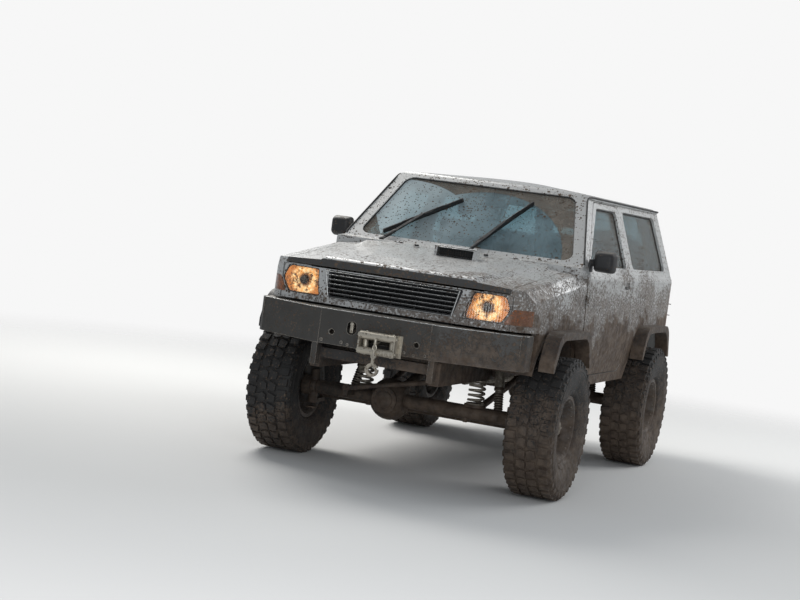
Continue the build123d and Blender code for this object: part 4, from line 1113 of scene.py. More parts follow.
class VEHICLE_OT_grille(bpy.types.Operator):
    """Adds bright lines along the slats and the grille's lower frame, painted highlights down the panel edges
    beside the grille, and the core behind.
    """
    bl_idname = "vehicle.grille"
    bl_label = "Grille edges and radiator core"

    def execute(self, context):
        bm = bmesh.new()
        rows = [(NOSE_LOW + 0.062 + 0.027 * row + 0.0085, 0.0017) for row in range(5)]
        rows += [(NOSE_LOW + 0.040, 0.0028), (HOOD_LIP - 0.013, 0.0016)]
        for height, radius in rows:
            reach = 0.389 + (height - NOSE_LOW - 0.036) * 0.215
            front = [(reach, -0.7548), (0.330, -0.7590), (-0.330, -0.7590), (-reach, -0.7548)]
            put_tube(bm, [at(x, station, height) for x, station in front], radius, 2, False, False)
        # Painted highlights: bright beads down the panel's edges beside the grille, where light catches them
        for side in (-1, 1):
            bead = [(side * (0.396 + (z - NOSE_LOW - 0.036) * 0.215), z)
                    for z in (NOSE_LOW + 0.030, HOOD_LIP - 0.012)]
            put_tube(bm, [at(x, -0.7555, z) for x, z in bead], 0.0042, 3, False, False)
        piece("grille_lines_and_highlights", bm, bright_trim_and_highlight(), 60.0)
        core = bmesh.new()
        for row in range(24):
            z = NOSE_LOW + 0.045 + row * 0.0062
            put_box(core, at(-0.40, -0.655, z), at(0.40, -0.645, z + 0.0022))
        for post in range(17):
            x = -0.40 + post * 0.05
            put_box(core, at(x - 0.0015, -0.660, NOSE_LOW + 0.040), at(x + 0.0015, -0.642, HOOD_LIP - 0.012))
        piece("radiator_core", core, inside_plastic(), None)
        return {"FINISHED"}


ROPE_TURNS = 19
TURN_STEPS = 14
WINDING_RADIUS = 0.037


def add_windings():
    """Rope wound on the winch's drum."""
    bm = bmesh.new()
    centre = at(WINCH_X, WINCH_STATION, WINCH_Z)
    points = []
    for index in range(ROPE_TURNS * TURN_STEPS + 1):
        angle = math.tau * index / TURN_STEPS
        x = -0.098 + 0.196 * index / (ROPE_TURNS * TURN_STEPS)
        points.append(centre + Vector((x, WINDING_RADIUS * math.cos(angle),
                                       WINDING_RADIUS * math.sin(angle))))
    put_tube(bm, points, 0.0052, 1, False, False)
    piece("rope_on_drum", bm, rope_steel(), 60.0)


def add_fairlead_parts():
    """Pins, caps and straps of the fairlead's rollers."""
    bm = bmesh.new()
    for end in (-1, 1):
        for height in (-0.044, 0.044):
            place = at(WINCH_X + end * 0.116, BUMPER_STATION - 0.062, FAIR_Z + height)
            put_bolt(bm, place, (end, 0, 0), 0.009)
        for height in (-1, 1):
            place = at(WINCH_X + end * 0.084, BUMPER_STATION - 0.031, FAIR_Z + height * 0.054)
            put_peg(bm, place, (0, 0, height * 0.010), 0.0205, 24, 0.019)
            put_bolt(bm, place + Vector((0, 0, height * 0.010)), (0, 0, height), 0.007)
        put_bolt(bm, at(WINCH_X + end * 0.1255, BUMPER_STATION - 0.006, FAIR_Z), (0, -1, 0), 0.008)
        for height in (-0.058, 0.058):
            put_block(bm, (WINCH_X + end * 0.1085, WINCH_X + end * 0.060),
                      (BUMPER_STATION - 0.078, BUMPER_STATION - 0.006),
                      (FAIR_Z + height - 0.0035, FAIR_Z + height + 0.0035), 0.0012)
    piece("fairlead_pins", bm, galvanised(), 30.0)


def add_hook_parts():
    """The rope's eye, its shackle and the hook's latch."""
    bm = bmesh.new()
    eye = at(WINCH_X, HOOK_STATION, HOOK_Z + 0.082)
    put_pin(bm, eye, (0, 0.0088, 0), 0.0065, 20, bevel=0.001)
    bow = [eye + Vector((0, sign * 0.0042, height)) for sign, height in
           ((-1, -0.004), (-1, 0.018), (-0.7, 0.030), (0, 0.036), (0.7, 0.030), (1, 0.018), (1, -0.004))]
    put_tube(bm, bow, 0.0046, 3)
    thimble = [eye + Vector((x, 0, z)) for x, z in
               ((0, 0.031), (-0.010, 0.038), (-0.012, 0.052), (0, 0.072), (0.012, 0.052), (0.010, 0.038))]
    put_tube(bm, thimble, 0.0042, 2, True)
    put_rod(bm, eye + Vector((0, 0, 0.068)), eye + Vector((0, 0, 0.098)), 0.0085, 20, bevel=0.001)
    ring = at(WINCH_X, HOOK_STATION, HOOK_Z)
    put_bar(bm, Matrix.Translation(ring) @ Matrix.Rotation(math.pi / 2, 4, "X"), (0.004, 0.030), (0.029, 0.0),
            0.010, -0.0086, 0.0086, 0.001)
    put_rod(bm, ring + Vector((0.002, -0.0088, 0.032)), ring + Vector((0.002, 0.0088, 0.032)), 0.004, 16)
    piece("hook_shackle", bm, galvanised())


def add_housings():
    """The clutch lever, and bolts in the ends of the winch."""
    bm = bmesh.new()
    knob = at(-0.146, BUMPER_STATION + 0.004, FAIR_Z + 0.088)
    foot = at(-0.146, WINCH_STATION + 0.010, WINCH_Z + 0.020)
    put_tube(bm, [foot, foot + Vector((0, -0.050, 0.020)), knob + Vector((0, 0.020, -0.016)), knob], 0.0065,
             3)
    put_rod(bm, knob + Vector((0, 0.012, -0.002)), knob + Vector((0, -0.010, 0.004)), 0.014, 24, 0.011, 0.003)
    put_box(bm, knob + Vector((-0.010, -0.006, -0.050)), knob + Vector((0.010, 0.000, 0.012)), 0.003)
    for end, reach in ((-1, 0.262), (1, 0.232)):
        cap_x = WINCH_X + end * reach
        for along, up in circle(6, 0.038):
            put_bolt(bm, at(cap_x, WINCH_STATION + along, WINCH_Z + up), (end, 0, 0), 0.005)
    piece("winch_fittings", bm, galvanised(), 35.0)


class VEHICLE_OT_winch(bpy.types.Operator):
    """Adds rope on the drum, roller pins, the clutch lever, the shackle and the hook's latch."""
    bl_idname = "vehicle.winch"
    bl_label = "Winch, fairlead and hook"

    def execute(self, context):
        paint_node("winch_rope", rope_steel())
        add_windings()
        add_fairlead_parts()
        add_hook_parts()
        add_housings()
        return {"FINISHED"}


class VEHICLE_OT_bumper(bpy.types.Operator):
    """Adds bolts, ring welds and edge beads to the front bumper; the bright bead along its top edge is a
    painted highlight.
    """
    bl_idname = "vehicle.bumpers"
    bl_label = "Bumper fittings"

    def execute(self, context):
        bm = bmesh.new()
        for side in (-1, 1):
            hole = at(side * 0.270, BUMPER_STATION - 0.001, BUMPER_LOW - 0.008)
            put_loop(bm, hole, (0, 1, 0), 0.0185, 0.0022, 28)
            for x in (0.20, 0.33):
                put_bolt(bm, at(side * x, BUMPER_STATION, BUMPER_LOW - 0.062), (0, -1, 0), 0.007)
            for x in (0.10, 0.21):
                put_bolt(bm, at(WINCH_X + side * x, BUMPER_STATION, BUMPER_LOW - 0.070), (0, -1, 0), 0.006)
            seam = [at(side * 0.352, BUMPER_STATION - 0.0005, z)
                    for z in (BUMPER_LOW - 0.080, BUMPER_LOW, BUMPER_TOP - 0.004)]
            put_tube(bm, seam, 0.0016, 1, False, False)
            corner = [at(side * 0.830, -0.711, z) for z in (BUMPER_LOW + 0.003, BUMPER_TOP - 0.003)]
            put_tube(bm, corner, 0.0022, 1, False, False)
        piece("bumper_bolts", bm, bumper_steel(), 35.0)
        # Painted highlight: a bright bead along the bumper's top edge, where light catches it
        edge = bmesh.new()
        outline = [(0.858, -0.640), (0.858, -0.668), (0.848, -0.692), (0.828, -0.711), (0.420, -0.918),
                   (0.395, -0.929), (0.365, -0.9305)]
        points = outline + [(-x, station) for x, station in reversed(outline)]
        put_tube(edge, [at(x, station, BUMPER_TOP - 0.0015) for x, station in points], 0.0024, 2, False,
                 False)
        piece("bumper_top_highlight", edge, bright_trim_and_highlight(), 60.0)
        return {"FINISHED"}


class VEHICLE_OT_wipers(bpy.types.Operator):
    """Adds the wipers' rubber, yokes, springs, caps and the washer nozzles."""
    bl_idname = "vehicle.wipers"
    bl_label = "Wiper details"

    def execute(self, context):
        rubber = bmesh.new()
        metal = bmesh.new()
        for pivot, low, tip in WIPERS:
            pivot, low, tip = Vector(pivot), Vector(low), Vector(tip)
            put_bar(rubber, SCREEN, low, tip, 0.0065, -0.0126, 0.004, 0.0008)
            put_bar(rubber, SCREEN, low.lerp(tip, -0.004), low.lerp(tip, 1.004), 0.0105, -0.002, 0.003,
                    0.0008)
            for start, end in ((0.02, 0.36), (0.64, 0.98), (0.24, 0.76)):
                lift = 0.020 if end - start < 0.4 else 0.024
                put_bar(metal, SCREEN, low.lerp(tip, start), low.lerp(tip, end), 0.0075, lift - 0.002,
                        lift + 0.003, 0.0015)
            for share in (0.02, 0.36, 0.64, 0.98):
                spot = low.lerp(tip, share)
                along = (tip - low).normalized() * 0.006
                put_bar(metal, SCREEN, spot - along, spot + along, 0.0125, 0.000, 0.022, 0.0012)
            yoke = low.lerp(tip, 0.5)
            put_bar(metal, SCREEN, pivot.lerp(yoke, 0.10), pivot.lerp(yoke, 0.34), 0.021, 0.016, 0.031, 0.003)
            for sign in (-1, 1):
                along = (yoke - pivot).normalized()
                off = Vector((-along.y, along.x)) * 0.006 * sign
                coil = [SCREEN @ Vector((*(pivot.lerp(yoke, 0.34 + 0.10 * i) + off), 0.026)) for i in (0, 1)]
                put_tube(metal, coil, 0.0028, 2, False, False)
            cap = SCREEN @ Vector((*pivot, 0.0))
            up = outward_of(SCREEN).normalized()
            put_rod(metal, cap + up * 0.026, cap + up * 0.036, 0.0125, 24, 0.010, 0.002)
        piece("wiper_rubbers", rubber, seal_rubber())
        piece("wiper_yokes", metal, dark_plastic())
        nozzles = bmesh.new()
        for x in (-0.24, 0.24):
            place = at(x, 0.235, 0.990)
            put_box(nozzles, place + Vector((-0.013, -0.010, 0.0)), place + Vector((0.013, 0.016, 0.013)),
                    0.004)
            put_rod(nozzles, place + Vector((0, 0.008, 0.010)), place + Vector((0, 0.018, 0.013)), 0.003, 12)
        piece("washer_nozzles", nozzles, dark_plastic(), body="hood")
        return {"FINISHED"}


FILM_GAP = 0.0012


def mud_film(name, swept, amount, line):
    """Dried mud on glass as a thin see-through skin, wiped away in two fans where swept is set; there the
    wiped fans carry a painted reflection of the sky, teal and paler and stronger towards the vehicle's right.
    """
    if name in bpy.data.materials:
        return bpy.data.materials[name]
    made, tree, shader = new_material(name)
    where = object_place(tree)
    cloud = ramp(tree, noise_of(tree, where, 3.2, 5.0, 0.6), 0.25, 0.75, 0.45, 1.0)
    runs = ramp(tree, noise_of(tree, where, 16.0, 4.0, 0.6, (1.0, 1.0, 0.25)), 0.3, 0.7, 0.75, 1.0)
    film = calc(tree, "MULTIPLY", calc(tree, "MULTIPLY", cloud, runs), amount)
    if swept:
        clean = wiped_fans(tree, where)
        film = calc(tree, "MULTIPLY", film, calc(tree, "MULTIPLY_ADD", clean, -0.94, 1.0))
        # Painted reflection of the sky in the wiped fans, paler and stronger towards the vehicle's right
        rightwards = ramp(tree, add_node(tree, "ShaderNodeSeparateXYZ", {0: where}).outputs["X"], 0.25, -0.62)
        patches = ramp(tree, noise_of(tree, where, 2.2, 4.0, 0.6), 0.30, 0.70, 0.14, 0.46)
        painted_sky_reflection = calc(tree, "MULTIPLY", clean, calc(tree, "MULTIPLY_ADD", rightwards, 0.26, patches))
    cover = mud_cover(tree, line, 1.0, 0.95)
    alpha = calc(tree, "MAXIMUM", film, calc(tree, "MULTIPLY", cover["Mask"], 0.85))
    base = (0.27, 0.235, 0.195)
    if swept:
        alpha = calc(tree, "MAXIMUM", alpha, painted_sky_reflection)
        sheen = blend_colour(tree, rightwards, (0.36, 0.52, 0.58), (0.66, 0.76, 0.78))
        base = blend_colour(tree, clean, base, sheen)
    colour = blend_colour(tree, cover["Mask"], base, cover["Colour"])
    feed(tree, shader.inputs, {"Base Color": colour, "Alpha": alpha,
                               "Roughness": ramp(tree, cloud, 0.4, 1.0, 0.70, 0.92)})
    return made


def wiped_fans(tree, where):
    """One inside the two sectors that the wipers clear."""
    slope = SCREEN.to_3x3()
    clean = None
    for (pivot, low, tip), turn in zip(WIPERS, (math.radians(118), math.radians(120))):
        hub = SCREEN @ Vector((*pivot, 0.0))
        moved = add_node(tree, "ShaderNodeVectorMath", {0: where, 1: tuple(hub)},
                         operation="SUBTRACT").outputs[0]
        local = [add_node(tree, "ShaderNodeVectorMath", {0: moved, 1: tuple(slope @ axis)},
                          operation="DOT_PRODUCT").outputs["Value"]
                 for axis in (Vector((1, 0, 0)), Vector((0, 1, 0)))]
        radius = calc(tree, "SQRT", calc(tree, "ADD", calc(tree, "MULTIPLY", local[0], local[0]),
                                         calc(tree, "MULTIPLY", local[1], local[1])))
        angle = calc(tree, "ARCTAN2", local[1], local[0])
        reach = (Vector(tip) - Vector(pivot)).length
        near = (Vector(low) - Vector(pivot)).length
        ring = calc(tree, "MULTIPLY", ramp(tree, radius, reach + 0.004, reach - 0.004),
                    ramp(tree, radius, near - 0.006, near + 0.006))
        fan = calc(tree, "MULTIPLY", ramp(tree, angle, 0.05, 0.075), ramp(tree, angle, turn + 0.02, turn))
        swept = calc(tree, "MULTIPLY", ring, fan)
        clean = swept if clean is None else calc(tree, "MAXIMUM", clean, swept)
    return clean


class VEHICLE_OT_film(bpy.types.Operator):
    """Adds a skin of dried mud just outside each pane, with a painted sky reflection in the windscreen's wiped
    fans.
    """
    bl_idname = "vehicle.film"
    bl_label = "Mud and painted reflection on the glass"

    def execute(self, context):
        forwards = (0, -0.72, 0.69)
        left, right, back = (0.94, 0, 0.33), (-0.94, 0, 0.33), (0, 0.99, 0.14)
        rows = (("screen_film_and_reflection", "fixed_glass", "body", forwards, True),
                ("quarter_film_left", "fixed_glass", "body", left, False),
                ("quarter_film_right", "fixed_glass", "body", right, False),
                ("door_film_left", "door_glass_left", "door_left", left, False),
                ("door_film_right", "door_glass_right", "door_right", right, False),
                ("rear_film_large", "rear_glass_large", "rear_door_large", back, False),
                ("rear_film_small", "rear_glass_small", "rear_door_small", back, False))
        for name, node, body, facing, swept in rows:
            bm = open_skin(node, facing, 0.93, True)
            bm.normal_update()
            normal = Vector(facing).normalized()
            bmesh.ops.translate(bm, vec=normal * FILM_GAP, verts=bm.verts)
            look = ("Swept film", True, 0.80, 0.95) if swept else ("Window film", False, 0.30, 1.02)
            piece(name, bm, mud_film(*look), None, normals=False, body=body)
        return {"FINISHED"}


def mirror_silver():
    return finish("Mirror silver", (0.80, 0.82, 0.84), 0.03, 1.0, 0.08, 0.03, mud=(0.9, 0.5, 0.8))


class VEHICLE_OT_body_trim(bpy.types.Operator):
    """Adds the scoop's duct and rim, a dark band of painted shade on the hood's nose, and the gutter strips.
    """
    bl_idname = "vehicle.body_trim"
    bl_label = "Body trim"

    def execute(self, context):
        duct = bmesh.new()
        put_box(duct, at(-0.0135, 0.050, 0.935), at(0.2335, 0.059, 1.0115), 0.001)
        put_box(duct, at(-0.0138, -0.010, 0.956), at(0.2338, 0.052, 0.962), 0.001)
        for bar in range(15):
            x = -0.005 + bar * 0.0164
            put_box(duct, at(x, 0.012, 0.955), at(x + 0.0016, 0.016, 1.011))
        for row in range(4):
            z = 0.966 + row * 0.0125
            put_box(duct, at(-0.013, 0.011, z), at(0.233, 0.0155, z + 0.0016))
        piece("scoop_duct", duct, seal_rubber(), None, body="hood")
        rim = bmesh.new()
        path = [(-0.0155, -0.0065, 0.956), (-0.0155, 0.0020, 1.0135), (0.2355, 0.0020, 1.0135),
                (0.2355, -0.0065, 0.956)]
        put_tube(rim, [at(*point) for point in path], 0.0048, 3, False, False)
        piece("scoop_rim", rim, bright_trim_and_highlight(), 50.0, body="hood")
        # Painted shade: a dark sheet over the hood's forward faces, where the nose is in shadow, with mud and
        # worn edges over it
        band = open_skin("hood", (0, -0.89, 0.45), 0.97, True)
        band.normal_update()
        bmesh.ops.solidify(band, geom=band.faces[:], thickness=-0.0022)
        piece("hood_shade_band", band, finish("Nose moulding", (0.050, 0.048, 0.046), 0.2, 0.1, 0.42, 0.1, 0.1,
                                        (0.70, 1.0, 1.2), (0.003, 0.5)), 30.0, body="hood")
        strips = bmesh.new()
        for side in (-1, 1):
            pillar = [(BELT_HALF + 0.003 - (z - BELT) * 0.352, z - 0.567, z)
                      for z in (1.020, 1.200, 1.380, 1.450)]
            edge = pillar + [(0.690, 0.935, 1.4640), (0.6985, 0.990, 1.4655), (0.6985, TAIL - 0.110, 1.4655)]
            put_tube(strips, [at(side * x, station, z) for x, station, z in edge], 0.0066, 2)
        piece("gutter_strips", strips, seal_rubber(), 50.0)
        return {"FINISHED"}


def add_side_door(name, side):
    """A side door's lock, hinges, mirror and glass sweep."""
    bm = bmesh.new()
    lock = at(side * 0.866, DOOR_REAR - 0.052, BELT - 0.089)
    put_peg(bm, lock, (side * 0.008, 0, 0), 0.0105, 24, 0.0095, 0.0015)
    for height in (0.500, 0.750):
        place = at(side * 0.888, DOOR_FRONT + 0.004, height + 0.060)
        put_pin(bm, place, (0, 0, 0.024), 0.006, 16)
    piece(f"door_lock_{name}", bm, galvanised(), body=f"door_{name}")
    add_mirror(name, side)
    glass = bmesh.new()
    face = facing_front(DOOR_FRONT + 0.1600)
    corners = [(0.8690, 0.992), (1.0030, 0.992), (1.0030, 1.110), (0.8690, 1.110)]
    put_plate(glass, face, [(side * x, z) for x, z in corners], 0.020, -0.0025, 0.0008, 5)
    piece(f"mirror_glass_{name}", glass, mirror_silver(), body=f"door_{name}")
    sweep = bmesh.new()
    place = SIDE if side > 0 else FLIP @ SIDE
    centre = middle(f"door_glass_{name}").y - FRONT_AXLE
    put_bar(sweep, place, (centre - 0.480, 0.031), (centre + 0.470, 0.031), 0.012, -0.0235, -0.0025, 0.002)
    piece(f"door_sweep_{name}", sweep, seal_rubber(), body=f"door_{name}")


def add_mirror(name, side):
    """A rounded mirror housing on a short arm, deeper at its open rear than at its nose."""
    bm = bmesh.new()
    put_block(bm, (side * 0.855, side * 1.016), (0.546, 0.634), (0.978, 1.126))
    nose = [v for v in bm.verts if v.co.y < at(0, 0.56, 0).y]
    centre = at(side * 0.930, 0.546, 1.050)
    for vert in nose:
        vert.co = centre + (vert.co - centre) * 0.74
    round_off(bm, bm.edges[:], 0.026, 5)
    put_slab(bm, ((0.556, 0.974), (0.640, 0.974), (0.622, 1.040), (0.572, 1.060)), side * 0.835, side * 0.852,
             0.004)
    put_rod(bm, at(side * 0.842, 0.592, 1.030), at(side * 0.872, 0.590, 1.044), 0.020, 24, 0.024)
    piece(f"mirror_housing_{name}", bm, dark_plastic(), 45.0, (f"mirror_{name}",),
          body=f"door_{name}")


def add_rear_doors():
    """The large rear door's handle, and hinge leaves on both."""
    bm = bmesh.new()
    handle = at(-0.150, TAIL + 0.001, 0.830)
    put_plate(bm, Matrix.Translation(handle) @ Matrix.Rotation(-math.pi / 2, 4, "X"),
              rectangle(-0.055, 0.055, -0.026, 0.026), 0.012, 0.010, 0.003)
    put_tube(bm, [handle + Vector((-0.042, 0.008, 0.0)), handle + Vector((-0.040, 0.034, 0.0)),
                  handle + Vector((0.040, 0.034, 0.0)), handle + Vector((0.042, 0.008, 0.0))], 0.008, 4)
    lock = handle + Vector((0, 0.004, -0.045))
    put_peg(bm, lock, (0, 0.008, 0), 0.010, 24, 0.009, 0.0015)
    piece("rear_handle", bm, dark_plastic(), body="rear_door_large")
    for node, side in (("rear_door_large", 1), ("rear_door_small", -1)):
        leaf = bmesh.new()
        for height in (FLOOR + 0.130, FLOOR + 0.560):
            put_block(leaf, (side * 0.742, side * 0.650), (TAIL - 0.0005, TAIL + 0.0055),
                      (height - 0.010, height + 0.030), 0.0015)
            for x in (0.665, 0.695):
                put_bolt(leaf, at(side * x, TAIL + 0.0055, height + 0.010), (0, 1, 0), 0.005)
        piece(f"{node}_hinges", leaf, chassis_paint(), 35.0, body=node)


class VEHICLE_OT_doors(bpy.types.Operator):
    """Adds locks, mirror glass, hinge leaves, glass sweeps and the rear doors' handle."""
    bl_idname = "vehicle.doors"
    bl_label = "Door fittings"

    def execute(self, context):
        for name, side in SIDES:
            add_side_door(name, side)
        add_rear_doors()
        return {"FINISHED"}


def add_hub(bm, steered):
    """A wheel's hub, with a turning grip on a steered one."""
    profile = [(0.050, 0.0), (0.050, 0.047), (0.062, 0.047), (0.066, 0.043), (0.074, 0.041), (0.077, 0.036),
               (0.077, 0.0)]
    put_lathe(bm, profile, (0, 0, 0), (1, 0, 0), 36, False)
    if steered:
        put_bar(bm, Matrix.Rotation(math.pi / 2, 4, "Y"), (-0.004, -0.026), (-0.004, 0.026), 0.012, 0.076,
                0.085, 0.002)
    for along, up in circle(6, 0.044):
        put_bolt(bm, (0.062, along, up), (1, 0, 0), 0.0045)


def add_rim_bolts(bm):
    """Bolts round the rim's edge."""
    for along, up in circle(16, 1.0):
        put_bolt(bm, (0.0985, 0.1855 * along, 0.1855 * up), (0.8, -0.4 * along, -0.4 * up), 0.0045)


class VEHICLE_OT_wheel_fittings(bpy.types.Operator):
    """Adds wheel nuts, free-wheel hubs, valves and rim bolts."""
    bl_idname = "vehicle.wheel_fittings"
    bl_label = "Wheel fittings"

    def execute(self, context):
        for body, node, place in wheel_places():
            bm = bmesh.new()
            for along, up in circle(6, 0.0785, 0.5):
                spot = Vector((0.0135, along, up))
                put_peg(bm, spot, (0.006, 0, 0), 0.0135, 24, 0.0125)
                put_peg(bm, spot, (0.018, 0, 0), 0.0108, 6, 0.0108, 0.0015)
                put_peg(bm, spot, (0.024, 0, 0), 0.0055, 12)
            if node != "spare_tyre":
                add_hub(bm, "front" in node)
            angle = math.radians(100)
            valve = Vector((0.046, 0.150 * math.cos(angle), 0.150 * math.sin(angle)))
            put_peg(bm, valve, (0.034, 0, 0), 0.0042, 16, 0.0035, 0.0008)
            add_rim_bolts(bm)
            bmesh.ops.transform(bm, matrix=place, verts=bm.verts)
            piece(f"{node}_nuts", bm, galvanised(), 35.0, body=body)
        return {"FINISHED"}


def add_cover(bm, station, diff_x, face):
    """An axle cover's bolts, plug and dome, and the flange across from it."""
    for x, up in circle(10, 0.073):
        put_bolt(bm, at(diff_x + x, station + face * 0.124, up), (0, face, 0), 0.0055)
    plug = at(diff_x, station + face * 0.124, -0.010)
    put_peg(bm, plug, (0, face * 0.007, 0), 0.012, 24, 0.010, 0.0015)
    dome = [(0.0, 0.058), (0.006, 0.055), (0.012, 0.040), (0.014, 0.0)]
    put_lathe(bm, dome, at(diff_x, station + face * 0.1235, 0.0), (0, face, 0), 36, False)
    flange = at(diff_x, station - face * 0.145, 0.051)
    put_peg(bm, flange, (0, -face * 0.010, 0.002), 0.050, 32, bevel=0.002)
    for x, up in circle(4, 0.038, 0.5):
        put_bolt(bm, flange + Vector((x, face * 0.002, up)), (0, face, 0), 0.005)


def add_stops(bm, station):
    """Stepped bump stops above an axle."""
    for side in (-1, 1):
        top = at(side * 0.290, station, 0.330 if station == 0.0 else 0.300)
        for radius, drop in ((0.034, 0.0), (0.029, 0.020), (0.023, 0.040)):
            start = top - Vector((0, 0, drop))
            put_rod(bm, start, start - Vector((0, 0, 0.022)), radius, 28, radius * 0.82, 0.003)


def add_dampers(metal, rubber, station):
    """Sleeves, folds, eyes and bolts of an axle's dampers."""
    for side in (-1, 1):
        low = at(side * 0.500, station + 0.120, 0.012)
        high = at(side * 0.456, station + 0.190, 0.296)
        along = (high - low).normalized()
        put_rod(rubber, low.lerp(high, 0.50), low.lerp(high, 0.56), 0.0335, 28, 0.0345, 0.002)
        for fold in range(7):
            share = 0.10 + fold * 0.052
            put_loop(rubber, low.lerp(high, share), along, 0.0265, 0.0042, 24)
        for spot, radius in ((low, 0.022), (high, 0.024)):
            put_pin(metal, spot, (0.026, 0, 0), radius, 24, bevel=0.003)
            put_bolt(metal, spot + Vector((side * 0.026, 0, 0)), (side, 0, 0), 0.009)


def add_links(metal, rubber, base):
    """Bushes, clamps and bolts of the links and track bars."""
    for side in (-1, 1):
        for spot in (at(side * 0.380, 0.910, 0.190), at(side * 0.380, base - 0.910, 0.190)):
            put_pin(rubber, spot, (0.027, 0, 0), 0.026, 28, bevel=0.003)
            for end in (-1, 1):
                put_bolt(metal, spot + Vector((end * 0.027, 0, 0)), (end, 0, 0), 0.010)
        for x, station in ((0.332, 0.030), (0.468, base - 0.030)):
            low = at(side * x - 0.014, station - 0.055, -0.062)
            high = at(side * x + 0.014, station + 0.030, -0.020)
            put_box(metal, low, high, 0.003)
            put_bolt(metal, at(side * (x + 0.014), station - 0.020, -0.041), (side, 0, 0), 0.009)
    for side, station in ((-1, -0.150), (1, base + 0.090)):
        spot = at(side * 0.440, station, 0.040)
        put_pin(rubber, spot, (0, 0.022, 0), 0.024, 28, bevel=0.003)
        put_bolt(metal, spot + Vector((0, -0.022, 0)), (0, -1, 0), 0.009)


def add_joints(bm, base):
    """Cross joints at the ends of both propeller shafts."""
    shafts = ((at(-0.188, 0.160, 0.050), at(-0.134, 0.660, 0.224)),
              (at(0, base - 0.165, 0.058), at(0, 1.120, 0.230)))
    for low, high in shafts:
        along = (high - low).normalized()
        side = along.cross(Vector((0, 0, 1))).normalized()
        up = side.cross(along)
        for spot, sign in ((low, 1), (high, -1)):
            for axis in (side, up):
                put_rod(bm, spot - axis * 0.042, spot + axis * 0.042, 0.0135, 20, bevel=0.002)
                for end in (-1, 1):
                    put_rod(bm, spot + axis * end * 0.030, spot + axis * end * 0.046, 0.019, 24, bevel=0.002)
            put_rod(bm, spot + along * sign * 0.022, spot + along * sign * 0.062, 0.037, 28, 0.031, 0.003)
        spline = low.lerp(high, 0.30)
        put_rod(bm, spline, spline + along * 0.055, 0.036, 28, bevel=0.003)


def add_rod_ends():
    """The tie rod's threaded ends."""
    bm = bmesh.new()
    for side in (-1, 1):
        end = at(side * KINGPIN, 0.160, -0.066)
        for x in (0.060, 0.105):
            put_rod(bm, end - Vector((side * x, 0, -0.002)), end - Vector((side * (x + 0.016), 0, -0.002)),
                    0.0215, 28, bevel=0.002)
        put_rod(bm, end - Vector((side * 0.020, 0, -0.002)), end - Vector((side * 0.140, 0, -0.002)), 0.0185,
                28, 0.0175, 0.002)
        put_bolt(bm, end + Vector((0, 0, 0.016)), (0, 0, 1), 0.009)
    piece("tie_rod_ends", bm, castings(), 35.0, body="tie_rod")


def add_kingpin_caps(bm):
    """Bolted caps above and below the kingpins."""
    for side in (-1, 1):
        for up in (-1, 1):
            cap = at(side * KINGPIN, 0, up * 0.134)
            put_peg(bm, cap, (0, 0, up * 0.008), 0.038, 28, 0.036, 0.002)
            for x, along in circle(4, 0.026, 0.5):
                put_bolt(bm, cap + Vector((x, along, up * 0.008)), (0, 0, up), 0.0055)


class VEHICLE_OT_suspension(bpy.types.Operator):
    """Adds cover bolts, spring collars, bump stops, bushes, joints, brake pipes and rod ends."""
    bl_idname = "vehicle.suspension"
    bl_label = "Axle and suspension details"

    def execute(self, context):
        base = REAR_AXLE - FRONT_AXLE
        bolts = bmesh.new()
        rubber = bmesh.new()
        for station, diff_x, face in ((0.0, -0.190, -1), (base, 0.0, 1)):
            add_cover(bolts, station, diff_x, face)
            add_stops(rubber, station)
            add_dampers(bolts, rubber, station)
            bends = [x for x in (-0.62, -0.30, -0.26, 0.28, 0.62) if abs(x - diff_x) > 0.12]
            put_tube(bolts, [at(x, station - face * 0.020, 0.0425) for x in bends], 0.0032, 2)
        add_links(bolts, rubber, base)
        add_joints(bolts, base)
        add_kingpin_caps(bolts)
        piece("axle_bolts", bolts, castings(), 35.0)
        piece("suspension_rubbers", rubber, seal_rubber())
        add_rod_ends()
        return {"FINISHED"}


# Seats

# Side outlines of the pads as (station, height) points, a little inside the solids
CUSHION = ((1.022, 0.600), (1.500, 0.585), (1.496, 0.690), (1.440, 0.706), (1.080, 0.732), (1.026, 0.712))
SEAT_BACK = ((1.462, 0.668), (1.546, 0.662), (1.682, 1.196), (1.668, 1.212), (1.602, 1.220), (1.480, 0.720))
HEADREST = ((1.636, 1.236), (1.680, 1.230), (1.708, 1.366), (1.652, 1.378))
BENCH_CUSHION = ((2.096, 0.600), (2.466, 0.590), (2.462, 0.704), (2.110, 0.732))
BENCH_BACK = ((2.476, 0.704), (2.556, 0.698), (2.660, 1.172), (2.576, 1.180))


def baked(thing):
    """Freezes an object's modifiers into its mesh."""
    shown = thing.evaluated_get(bpy.context.evaluated_depsgraph_get())
    mesh = bpy.data.meshes.new_from_object(shown)
    thing.modifiers.clear()
    thing.data = mesh


def smooth_mesh(thing, rounds):
    """Evens out the steps that a remesh leaves."""
    bm = bmesh.new()
    bm.from_mesh(thing.data)
    for _ in range(rounds):
        bmesh.ops.smooth_vert(bm, verts=bm.verts, factor=0.5, use_axis_x=True, use_axis_y=True,
                              use_axis_z=True)
    bm.to_mesh(thing.data)
    bm.free()


PRESSURE = 4.0
CLOTH_FRAMES = 20


